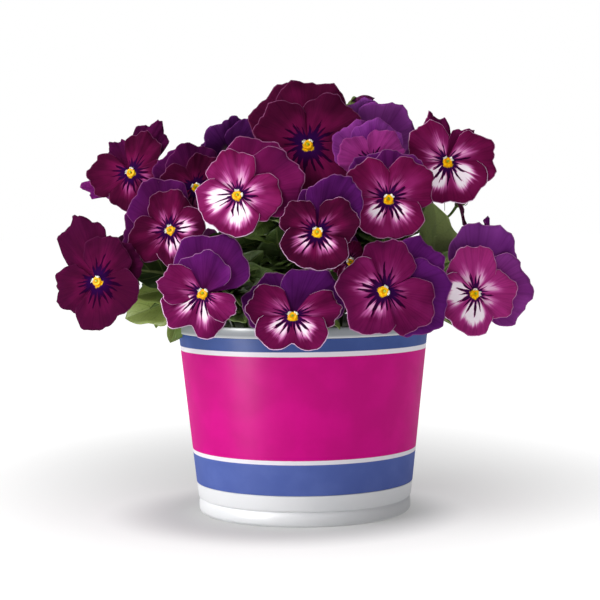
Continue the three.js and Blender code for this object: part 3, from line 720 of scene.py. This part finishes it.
def add_tube(bm, points, radii, sides, slot=0):
    """Adds a closed tube along points, with a radius at each."""
    ahead = (points[1] - points[0]).normalized()
    side = ahead.orthogonal().normalized()
    rings = []
    for i, (point, radius) in enumerate(zip(points, radii)):
        ahead = (points[min(i + 1, len(points) - 1)] - points[max(i - 1, 0)]).normalized()
        side = (side - ahead * side.dot(ahead)).normalized()
        other = ahead.cross(side)
        angles = [2 * math.pi * k / sides for k in range(sides)]
        around = [side * math.cos(a) + other * math.sin(a) for a in angles]
        rings.append([bm.verts.new(point + outward * radius) for outward in around])
    faces = [bm.faces.new(reversed(rings[0])), bm.faces.new(rings[-1])]
    for near, far in zip(rings, rings[1:]):
        faces += [bm.faces.new((near[k - 1], near[k], far[k], far[k - 1])) for k in range(sides)]
    for face in faces:
        face.material_index = slot


def add_turned(bm, profile, sides, slot=0, matrix=None):
    """Adds a (radius, height) profile turned round the Z axis. It starts and ends on the axis, or it
    ends where it starts."""
    before = set(bm.verts)
    path = [bm.verts.new((r, 0, z)) for r, z in profile]
    edges = [bm.edges.new(pair) for pair in zip(path, path[1:])]
    bmesh.ops.spin(bm, geom=path + edges, cent=(0, 0, 0), axis=(0, 0, 1), angle=2 * math.pi, steps=sides,
                   use_merge=True)
    made = [vert for vert in bm.verts if vert not in before]
    bmesh.ops.remove_doubles(bm, verts=made, dist=0.0005)
    made = [vert for vert in bm.verts if vert not in before]
    faces = {face for vert in made for face in vert.link_faces}
    for face in faces:
        face.material_index = slot
    bmesh.ops.recalc_face_normals(bm, faces=list(faces))
    if matrix:
        bmesh.ops.transform(bm, matrix=matrix, verts=made)


def finish_piece(name, bm, materials, node=None, thick=None, back=0, sharp=None):
    """Makes the object, in metres, and gives it to the part's one body. thick gives a sheet its
    thickness, back how many slots its back's material comes after its front's, and sharp the angle in
    degrees from which an edge is sharp."""
    bmesh.ops.remove_doubles(bm, verts=bm.verts, dist=0.0002)
    bmesh.ops.scale(bm, vec=(MM, MM, MM), verts=bm.verts)
    mesh = bpy.data.meshes.new(name)
    bm.to_mesh(mesh)
    bm.free()
    for material in materials:
        mesh.materials.append(material)
    mesh.shade_smooth()
    if sharp:
        mesh.set_sharp_from_angle(angle=math.radians(sharp))
    piece = bpy.data.objects.new(name, mesh)
    bpy.context.scene.collection.objects.link(piece)
    if thick:
        solidify = piece.modifiers.new("thickness", "SOLIDIFY")
        solidify.thickness = thick * MM
        solidify.offset = -1
        solidify.material_offset = back
    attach(piece, "root")
    if node:
        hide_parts(node)
    return piece


def numbered(name, index):
    return f"{name}_{index + 1:02d}"


def make_petals(flower, index):
    """A bloom's five petals. Its top ones may be more violet than the others, and are darker."""
    bm = bmesh.new()
    matrix = bloom_matrix(flower)
    for k in range(len(PETALS)):
        petal = petal_of(flower, index, k)
        violet, light = flower["violet"], flower["light"]
        if petal["kind"] == "top":
            violet = max(violet, flower["tops"] * (0.7 + 0.3 * draw(TINT_SEED + index + k)))
            light *= TOP_LIGHT
        add_sheet(bm, PETAL_COLUMNS, PETAL_ROWS, place=lambda u, v: matrix @ petal_point(petal, u, v),
                  slot=PETAL_KINDS.index(petal["kind"]), seed=7.3 * index + 1.9 * k,
                  violet=violet, flare=flower["flare"], light=light, rim=flower["rim"])
    name = numbered("bloom", index)
    finish_piece(f"{name}_petals", bm, PETAL_SLOTS, node=name, thick=PETAL_THICK,
                 back=len(PETAL_KINDS))


THROAT = [(0, 0), (2.5, 0.1), (2.9, 0.7), (2.7, 1.3), (2.1, 1.7), (1.5, 1.6), (1, 1), (0, 0.8)]
STIGMA = [(0, -0.6), (0.7, -0.3), (0.85, 0.3), (0.6, 0.8), (0.3, 0.9), (0, 0.7)]
THROAT_DOWN, THROAT_OUT, STIGMA_DOWN, STIGMA_OUT = 0.9, 0.1, 0.5, 1.2
BEARD_AT, BEARD_HALVES, BEARD_TURN = (1.75, 1.15, 0.9), (1.35, 0.75, 0.8), 0.75
HAIR_RADII = (0.2, 0.17, 0.08)


def make_eye(flower, index):
    """The yellow throat with its green stigma, and a white beard of hairs at each side over it."""
    bm = bmesh.new()
    matrix = bloom_matrix(flower)
    scale = 0.6 + 0.4 * flower["size"]
    bigger = Matrix.Scale(scale, 4)
    throat_at = Matrix.Translation((0, -THROAT_DOWN * scale, THROAT_OUT))
    add_turned(bm, THROAT, sides=24, slot=THROAT_SLOT, matrix=matrix @ throat_at @ bigger)
    stigma_at = Matrix.Translation((0, -STIGMA_DOWN * scale, STIGMA_OUT * scale))
    add_turned(bm, STIGMA, sides=12, slot=STIGMA_SLOT, matrix=matrix @ stigma_at @ bigger)
    for side in (-1, 1):
        across, up, out = BEARD_AT
        centre = Vector((across * side, up, out)) * scale
        turned = Matrix.Rotation(-BEARD_TURN * side, 4, "Z")
        pad = turned @ Matrix.Diagonal([half * scale for half in BEARD_HALVES] + [1])
        made = bmesh.ops.create_icosphere(bm, subdivisions=2, radius=1,
                                          matrix=matrix @ Matrix.Translation(centre) @ pad)
        for face in {face for vert in made["verts"] for face in vert.link_faces}:
            face.material_index = BEARD_SLOT
        for hair in range(BEARD_HAIRS):
            seed = 400 * index + 6 * hair + 200 * (side + 1)
            foot = Vector((2.4 * draw(seed) - 1.2, 1.1 * draw(seed + 1) - 0.55, 0.3))
            root = centre + turned.to_3x3() @ foot * scale
            lean = Vector((0.5 * side, 0.7 * draw(seed + 2) - 0.5, 0.7 + 0.4 * draw(seed + 3))) * scale
            points = [matrix @ root, matrix @ (root + lean * 0.6), matrix @ (root + lean)]
            radii = [radius * scale for radius in HAIR_RADII]
            add_tube(bm, points, radii, sides=5, slot=BEARD_SLOT)
    finish_piece(f"{numbered('bloom', index)}_eye", bm, EYE_SLOTS, sharp=60)


CUP = [(0, 0), (2.3, 0), (2.5, -0.9), (1.8, -2.2), (0.9, -3), (0, -3)]
SEPALS, SEPAL_LENGTH, SEPAL_HALF = 5, 11, 1.9


def add_calyx(bm, flower, index):
    """The cup behind a flower and its five sepals, spread behind a bloom and closed round a bud."""
    matrix = bloom_matrix(flower)
    reach = SEPAL_LENGTH * flower["size"]
    is_bud = "dark" in flower
    add_turned(bm, [(r, CALYX_FRONT + z) for r, z in CUP], sides=12, matrix=matrix)
    for k in range(SEPALS):
        turn = Matrix.Rotation(2 * math.pi * (k + 0.5) / SEPALS, 4, "Z")
        curl = -1.4 - 1.2 * draw(50 * index + k)

        def place(u, v):
            wide = SEPAL_HALF * math.sin(math.pi * min(1, 0.18 + 0.82 * v)) ** 0.8
            if is_bud:
                out = 2.2 + 2.0 * math.sin(math.pi * v * 0.7)
                z = CALYX_FRONT - 0.6 + (9 - 5 * flower["dark"]) * v
            else:
                out = 1.2 + (reach - 1.2) * v
                z = CALYX_FRONT - 0.7 + curl * v * v - 0.35 * u * u
            return matrix @ (turn @ Vector((u * wide, out, z)))

        add_sheet(bm, columns=4, rows=8, place=place)


def make_stem(stem, index):
    """One leafy stem's stem, flower stalks, cups and sepals. The stem tapers, and a stalk is thinnest
    in its middle."""
    bm = bmesh.new()
    line = samples_of(stem_points(stem), STEM_STEPS)
    add_tube(bm, line, [STEM_RADIUS * (1 - 0.35 * i / STEM_STEPS) for i in range(len(line))], sides=12)
    slim = [1.25 - 0.4 * math.sin(math.pi * i / STALK_STEPS) for i in range(STALK_STEPS + 1)]
    for curve in STALKS[index]:
        add_tube(bm, samples_of(curve, STALK_STEPS), [STALK_RADIUS * share for share in slim], sides=10)
    for k, (flower, owner) in enumerate(zip(FLOWERS, OWNERS)):
        if owner == index:
            add_calyx(bm, flower, k)
    name = numbered("leafy_stem", index)
    finish_piece(f"{name}_stalks", bm, [STEM], node=name, sharp=50)


LEAF_PUFF, LEAF_RIPPLE = 0.9, 0.5


def add_leaf(bm, leaf, tone):
    """A leaf, puffed up between its midrib and its edges, which ripple."""
    seed = leaf["seed"]

    def place(u, v):
        blade = blade_share(v)
        puff = math.sin(math.pi * abs(u)) * math.sin(math.pi * blade) * LEAF_PUFF
        ripple = LEAF_RIPPLE * abs(u) ** 3 * math.sin(9 * math.pi * v + seed) * (1 if blade > 0 else 0)
        return leaf_point(leaf, v, u) + leaf["up"] * (puff + ripple)

    add_sheet(bm, LEAF_COLUMNS, LEAF_ROWS, place, seed=seed % 97, tone=tone)


def inner_leaves(stem, index):
    """More leaves between the flowers, where the plant is dense, clear of the blooms and of the pot."""
    found = []
    for k in range(INNER_LEAVES[index]):
        seed = INNER_SEED + 300 * index + 7 * k
        place = dict(
            along=0.4 + 0.6 * draw(seed),
            turned=360 * draw(seed + 1) - 180,
            pitch=-15 + 65 * draw(seed + 2),
            length=28 + 20 * draw(seed + 3),
            roll=120 * draw(seed + 4) - 60,
        )
        leaf = leaf_at(stem, place, seed + 4)
        if not any(in_bloom(p, INNER_CLEAR) or in_pot(p) for p in leaf_samples(leaf)):
            found.append(leaf)
    return found


def finish_leaves(name, toned_leaves):
    """Makes one piece of the leaves, given with their tones from dark to light."""
    bm = bmesh.new()
    for leaf, tone in toned_leaves:
        add_leaf(bm, leaf, tone)
    finish_piece(name, bm, LEAF_SLOTS, thick=LEAF_THICK, back=1)


def make_leaves(stem, index):
    """A stem's own leaves, if it has any, and in a second piece the inner and small ones round it."""
    own, others = [], []
    for leaf in LEAVES[index]:
        own.append((leaf, SUNLIT_TONE if leaf["sunlit"] else 0.4 + 0.5 * draw(leaf["seed"] + 5)))
    for leaf in inner_leaves(stem, index):
        # Painted shade: the inner leaves get darker tones than the stem's own, for the shade inside the
        # plant
        others.append((leaf, 0.15 + 0.5 * draw(leaf["seed"] + 5)))
    for k, place in enumerate(SMALL_LEAVES.get(index, [])):
        leaf = leaf_at(stem, place, SMALL_SEED + 60 * index + 10 * k)
        others.append((leaf, place.get("tone", SMALL_LEAF_TONE)))
    if own:
        finish_leaves(f"{numbered('leafy_stem', index)}_leaves", own)
    finish_leaves(numbered("inner_leaves", index), others)


def bud_material(dark):
    """From creamy white (dark 0) to deep purple (dark 1)."""
    shade = Shade("bud_petals", Roughness=0.6, Specular_IOR_Level=0.05)
    x, y, z = shade.place()
    grain = shade.noise(x, y, z, scale=0.9, detail=3.0)
    light = shade.mix(grain.step(0.35, 0.65), rgb(206, 214, 178), rgb(248, 246, 236))
    deep = shade.mix(grain.step(0.35, 0.65), rgb(52, 6, 40), rgb(104, 22, 86))
    return shade.finish(shade.mix(dark, light, deep), height=grain, strength=0.3, depth=0.3)


def make_bud(bud, index):
    """Furled petals, twisted to a blunt point."""
    bm = bmesh.new()
    matrix = bloom_matrix(bud)

    def place(u, v):
        angle = math.pi * (u + 1)
        swell = math.sin(math.pi * min(1, 0.12 + 0.86 * v)) ** 0.6
        r = BUD_RADIUS * swell * (1 + 0.1 * math.sin(3 * angle + 4 * v)) * (1 - v ** 6)
        z = HUB_BACK + (BUD_FRONT - HUB_BACK) * v
        return matrix @ Vector((r * math.cos(angle), r * math.sin(angle), z))

    add_sheet(bm, columns=24, rows=16, place=place)
    bmesh.ops.remove_doubles(bm, verts=bm.verts, dist=0.01)
    bmesh.ops.holes_fill(bm, edges=bm.edges, sides=0)
    bmesh.ops.recalc_face_normals(bm, faces=bm.faces)
    name = numbered("bud", index)
    finish_piece(f"{name}_furled", bm, [bud_material(bud["dark"])], node=name)


def plastic_material():
    """White plastic, a little smeared, with a painted shade that makes its rim greyer, where the flowers
    overhang it.
    """
    shade = Shade("pot_plastic", Specular_IOR_Level=0.14)
    x, y, z = shade.place()
    grain = shade.noise(x, y, z, scale=0.9, detail=4.0)
    smear = shade.noise(x, y, z, scale=0.02, detail=3.0)
    colour = shade.mix(smear.step(0.3, 0.8), rgb(236, 237, 239), rgb(227, 229, 232))
    # Painted shade: the plastic turns grey from just below the label's top edge up over the rim
    colour = shade.mix((z - LABEL_HIGH + 1.0).step(0.0, 3.0) * 0.9, colour, rgb(128, 134, 140))
    return shade.finish(colour, height=grain, strength=0.12, depth=0.1, roughness=smear * 0.15 + 0.32)


PRINT_EDGE = 0.15


def label_material():
    """From its foot up: a blue band, a white line, magenta, a white line and a blue band made darker by a
    painted shade.
    """
    shade = Shade("label_print", Specular_IOR_Level=0, Coat_Weight=0.14, Coat_Roughness=0.26)
    x, y, z = shade.place()
    height = z + (shade.noise(x, y, z, scale=0.6, detail=2.0) - 0.5) * 0.12
    grain = shade.noise(x, y, z, scale=0.05, detail=4.0)
    fibre = shade.noise(x, y, z, scale=2.2, detail=4.0)
    magenta = shade.mix(grain.step(0.35, 0.7), rgb(200, 0, 128), rgb(210, 0, 136))
    low_blue = shade.mix(grain.step(0.35, 0.7), rgb(80, 98, 168), rgb(88, 106, 176))
    # Painted shade: the top blue band is the printed blue made darker, for the shade that the flowers cast
    # on it
    high_blue_in_painted_shade = shade.mix(grain.step(0.35, 0.7), rgb(62, 84, 146), rgb(70, 92, 156))
    white = rgb(236, 232, 240)
    colour = low_blue
    edges = [edge for line in WHITE_LINES for edge in line]
    for edge, above in zip(edges, (white, magenta, white, high_blue_in_painted_shade)):
        colour = shade.mix(height.step(edge - PRINT_EDGE, edge + PRINT_EDGE), colour, above)
    return shade.finish(colour, height=fibre, strength=0.06, depth=0.08, roughness=grain * 0.08 + 0.12)


def pot_profile():
    """The pot's outline from the middle of its underside, up its outside and down its inside."""
    def recess(z):
        return body_radius(z) - LABEL_THICK - GAP

    return [
        (0, 0), (BOSS_RADIUS, 0), (BOSS_RADIUS, FLOOR_RECESS), (FOOT_RING_INNER, FLOOR_RECESS),
        (FOOT_RING_INNER, 0), (FOOT_RADIUS - 2, 0), (FOOT_RADIUS - 0.8, 0.7), (FOOT_RADIUS - 0.1, 2.2),
        (FOOT_RADIUS, 4.5), (FOOT_RADIUS - 0.1, 7), (FOOT_RADIUS - 0.6, 8.3), (FOOT_RADIUS - 1.2, 9.2),
        (FOOT_RADIUS - 1, 9.8), (BODY_FOOT[0] - 0.3, 10.3), (BODY_FOOT[0], 11.2),
        (body_radius(LABEL_LOW), LABEL_LOW), (recess(LABEL_LOW), LABEL_LOW),
        (recess(LABEL_HIGH), LABEL_HIGH), (RIM_RADIUS - 0.8, LABEL_HIGH),
        (RIM_RADIUS - 0.5, LABEL_HIGH + 0.4), (RIM_RADIUS - 0.1, POT_HEIGHT - 2),
        (RIM_RADIUS, POT_HEIGHT - 1.1), (RIM_RADIUS - 0.3, POT_HEIGHT - 0.3),
        (RIM_RADIUS - 1, POT_HEIGHT), (inner_radius(POT_HEIGHT) + 0.5, POT_HEIGHT),
        (inner_radius(POT_HEIGHT) - 0.05, POT_HEIGHT - 0.6), (inner_radius(FLOOR_TOP), FLOOR_TOP),
        (0, FLOOR_TOP),
    ]


def drain_cutter():
    """Upright rods where the pot's floor has its drain holes."""
    rods = bmesh.new()
    for i in range(DRAIN["count"]):
        angle = 2 * math.pi * (i + 0.5) / DRAIN["count"]
        centre = Vector((math.cos(angle), math.sin(angle), 0)) * DRAIN["circle"] * MM
        bmesh.ops.create_cone(rods, cap_ends=True, segments=DRAIN_SIDES, radius1=DRAIN["r"] * MM,
                              radius2=DRAIN["r"] * MM, depth=3 * FLOOR_TOP * MM,
                              matrix=Matrix.Translation(centre))
    mesh = bpy.data.meshes.new("drain_cutter")
    rods.to_mesh(mesh)
    rods.free()
    cutter = bpy.data.objects.new("drain_cutter", mesh)
    bpy.context.scene.collection.objects.link(cutter)
    return cutter


def make_pot():
    bm = bmesh.new()
    add_turned(bm, pot_profile(), ROUND_SIDES)
    piece = finish_piece("pot_shell", bm, [plastic_material()], node="pot", sharp=40)
    cutter = drain_cutter()
    cut = piece.modifiers.new("drains", "BOOLEAN")
    cut.operation, cut.object, cut.solver = "DIFFERENCE", cutter, "EXACT"
    whole = bpy.data.meshes.new_from_object(piece.evaluated_get(bpy.context.evaluated_depsgraph_get()))
    piece.modifiers.clear()
    piece.data = whole
    bpy.data.objects.remove(cutter)


def make_label():
    """The sleeve in the pot's recess, up its outside, down its inside and closed."""
    low, high = LABEL_LOW + GAP, LABEL_HIGH - GAP
    heights = [low + (high - low) * i / LABEL_ROWS for i in range(LABEL_ROWS + 1)]
    outside = [(body_radius(z), z) for z in heights]
    inside = [(r - LABEL_THICK, z) for r, z in reversed(outside)]
    bm = bmesh.new()
    add_turned(bm, outside + inside + outside[:1], ROUND_SIDES)
    finish_piece("label_sleeve", bm, [label_material()], node="printed_label", sharp=40)


def soil_material():
    """Dark crumbs with light specks."""
    shade = Shade("soil", Roughness=0.95, Specular_IOR_Level=0.2)
    x, y, z = shade.place()
    crumb = shade.noise(x, y, z, scale=0.5, detail=6.0, roughness=0.7)
    speck = shade.noise(x, y, z, scale=1.6, detail=1.0)
    colour = shade.mix(crumb.step(0.35, 0.7), rgb(22, 14, 9), rgb(74, 52, 36))
    colour = shade.mix((speck - 0.68).step(0.0, 0.04) * 0.7, colour, rgb(150, 128, 96))
    return shade.finish(colour, height=crumb, strength=0.9, depth=1.5)


SOIL_DOME, SOIL_DOME_RADIUS, SOIL_SINK = 1.4, 78, 0.4
SOIL_ROUGH = ((0.09, 1.6), (0.32, 0.9), (0.9, 0.4))


def soil_height(x, y):
    """A low dome, with three sizes of noise on it, from broad swells down to crumbs."""
    rough = sum(noise.noise(Vector((x, y, 0)) * scale) * rise for scale, rise in SOIL_ROUGH)
    return SOIL_TOP + SOIL_DOME * (1 - math.hypot(x, y) / SOIL_DOME_RADIUS) + rough - SOIL_SINK


def make_soil():
    """The soil's body, its uneven top and loose crumbs on that."""
    edge = inner_radius(SOIL_TOP) - GAP
    low = FLOOR_TOP + GAP
    bm = bmesh.new()
    profile = [(edge * i / SOIL_RINGS, SOIL_TOP) for i in range(SOIL_RINGS + 1)]
    add_turned(bm, profile + [(inner_radius(low) - GAP, low), (0, low)], ROUND_SIDES)
    for vert in bm.verts:
        if vert.co.z > SOIL_TOP - 1 and math.hypot(vert.co.x, vert.co.y) < edge - 0.5:
            vert.co.z = soil_height(vert.co.x, vert.co.y)
    for k in range(CRUMBS):
        out, around, big, spun, tipped = (draw(SOIL_SEED + 5 * k + item) for item in range(5))
        r, angle = (edge - 3) * out ** 0.5, 2 * math.pi * around
        x, y, size = r * math.cos(angle), r * math.sin(angle), 0.5 + 1.5 * big ** 2
        at = Matrix.Translation((x, y, soil_height(x, y) + 0.3 * size))
        turn = Matrix.Rotation(6 * spun, 4, (tipped, 0.6, 0.3))
        flat = Matrix.Diagonal((size, 0.7 * size, 0.6 * size, 1))
        bmesh.ops.create_icosphere(bm, subdivisions=1, radius=1, matrix=at @ turn @ flat)
    finish_piece("soil_surface", bm, [soil_material()], node="soil", sharp=50)


# The floor's painted light and shade: its emission glows white far off, less in a painted shadow round the
# pot, and least in a painted contact shadow under it
FLOOR_HALF = 60
FLOOR_GREY = 0.35
SHADOW_GLOW, FAR_GLOW, SHADOW_REACH = 0.36, 0.97, 390
SHADOW_CENTRE, SHADOW_SQUASH = (-28, 130), 0.7
CONTACT_SHADOW_CENTRE, CONTACT_SHADOW_REACH, CONTACT_SHADOW_DARK = (-12, -16), 122, 0.55


def distance(across, ahead):
    return (across * across + ahead * ahead) ** 0.5


def make_floor():
    """The pale floor. Its emission is painted light: it glows up to white away from the pot, round a
    painted shadow, and is darkest in a painted contact shadow under it.
    """
    bm = bmesh.new()
    bmesh.ops.create_grid(bm, x_segments=1, y_segments=1, size=FLOOR_HALF)
    mesh = bpy.data.meshes.new("floor")
    bm.to_mesh(mesh)
    bm.free()
    shade = Shade("floor", Roughness=0.9, Specular_IOR_Level=0.1, Emission_Strength=1)
    x, y, z = shade.place()
    away = distance(x - SHADOW_CENTRE[0], (y - SHADOW_CENTRE[1]) * SHADOW_SQUASH)
    near = 1.0 - distance(x - CONTACT_SHADOW_CENTRE[0], y - CONTACT_SHADOW_CENTRE[1]) / CONTACT_SHADOW_REACH
    glow = shade.mix(away.step(0, SHADOW_REACH), grey(SHADOW_GLOW), grey(FAR_GLOW))
    # Painted contact shadow: the glow is cut near the pot's foot
    glow = shade.mix(near.step(0.0, 0.45) * CONTACT_SHADOW_DARK, glow, grey(0))
    feed(shade.tree, shade.shader.inputs["Emission Color"], glow)
    mesh.materials.append(shade.finish(grey(FLOOR_GREY)))
    floor = bpy.data.objects.new("floor", mesh)
    bpy.context.scene.collection.objects.link(floor)


CAMERA_AT = (0, -1.0, 0.181)
CAMERA_PITCH, CAMERA_ROLL = -2.51, -0.63
CAMERA_LENS, CAMERA_SENSOR, CAMERA_SHIFT = 91.62, 36, -0.0046
LIGHT_TARGET = (0, 0, 0.13)
SKY_LIGHT, SKY_MIRRORED = 0.16, 0.1


def make_camera():
    """The photograph's view, fitted to the pot's edges. Lengths are in metres."""
    camera = bpy.data.objects.new("camera", bpy.data.cameras.new("camera"))
    camera.data.lens = CAMERA_LENS
    camera.data.sensor_width = CAMERA_SENSOR
    camera.data.shift_x = CAMERA_SHIFT
    pitch = Matrix.Rotation(math.radians(90 + CAMERA_PITCH), 4, "X")
    roll = Matrix.Rotation(math.radians(CAMERA_ROLL), 4, "Z")
    camera.matrix_world = Matrix.Translation(CAMERA_AT) @ pitch @ roll
    bpy.context.scene.collection.objects.link(camera)
    bpy.context.scene.camera = camera


def add_light(name, azimuth, height, away, wide, tall, power):
    """A softbox that looks at the plant. azimuth is from the camera's side, negative to its left."""
    light = bpy.data.lights.new(name, "AREA")
    light.shape, light.size, light.size_y, light.energy = "RECTANGLE", wide, tall, power
    lamp = bpy.data.objects.new(name, light)
    a = math.radians(azimuth)
    lamp.location = (away * math.sin(a), -away * math.cos(a), height)
    lamp.rotation_euler = (lamp.location - Vector(LIGHT_TARGET)).to_track_quat("Z", "Y").to_euler()
    bpy.context.scene.collection.objects.link(lamp)
    return lamp


def make_light():
    """A sky that is white to the camera and dim to the object, a softbox at the left, a weak light over
    the plant, and a strip that is seen only in what mirrors it."""
    scene = bpy.context.scene
    scene.view_settings.view_transform = "Standard"
    world = bpy.data.worlds.new("studio")
    scene.world = world
    world.use_nodes = True
    tree = world.node_tree
    sky = tree.nodes["Background"]
    sky.inputs["Color"].default_value = (1, 1, 1, 1)
    seen = tree.nodes.new("ShaderNodeLightPath")
    camera_ray, glossy_ray = (Value(tree, seen.outputs[f"Is {kind} Ray"]) for kind in ("Camera", "Glossy"))
    strength = camera_ray * (1 - SKY_LIGHT) - glossy_ray * (SKY_LIGHT - SKY_MIRRORED) + SKY_LIGHT
    feed(tree, sky.inputs["Strength"], strength)
    add_light("softbox", azimuth=-60, height=0.95, away=1.15, wide=1.2, tall=0.9, power=19)
    add_light("top_fill", azimuth=-10, height=1.5, away=0.35, wide=1.0, tall=1.0, power=4.5)
    gloss = add_light("gloss_strip", azimuth=-54, height=0.2, away=0.9, wide=0.26, tall=0.5, power=80)
    gloss.visible_diffuse = False


make_camera()
make_light()
make_floor()
make_pot()
make_label()
make_soil()
for number, given in enumerate(STEMS):
    make_stem(given, number)
    make_leaves(given, number)
for number, given in enumerate(BLOOMS):
    make_petals(given, number)
    make_eye(given, number)
for number, given in enumerate(BUDS):
    make_bud(given, number)
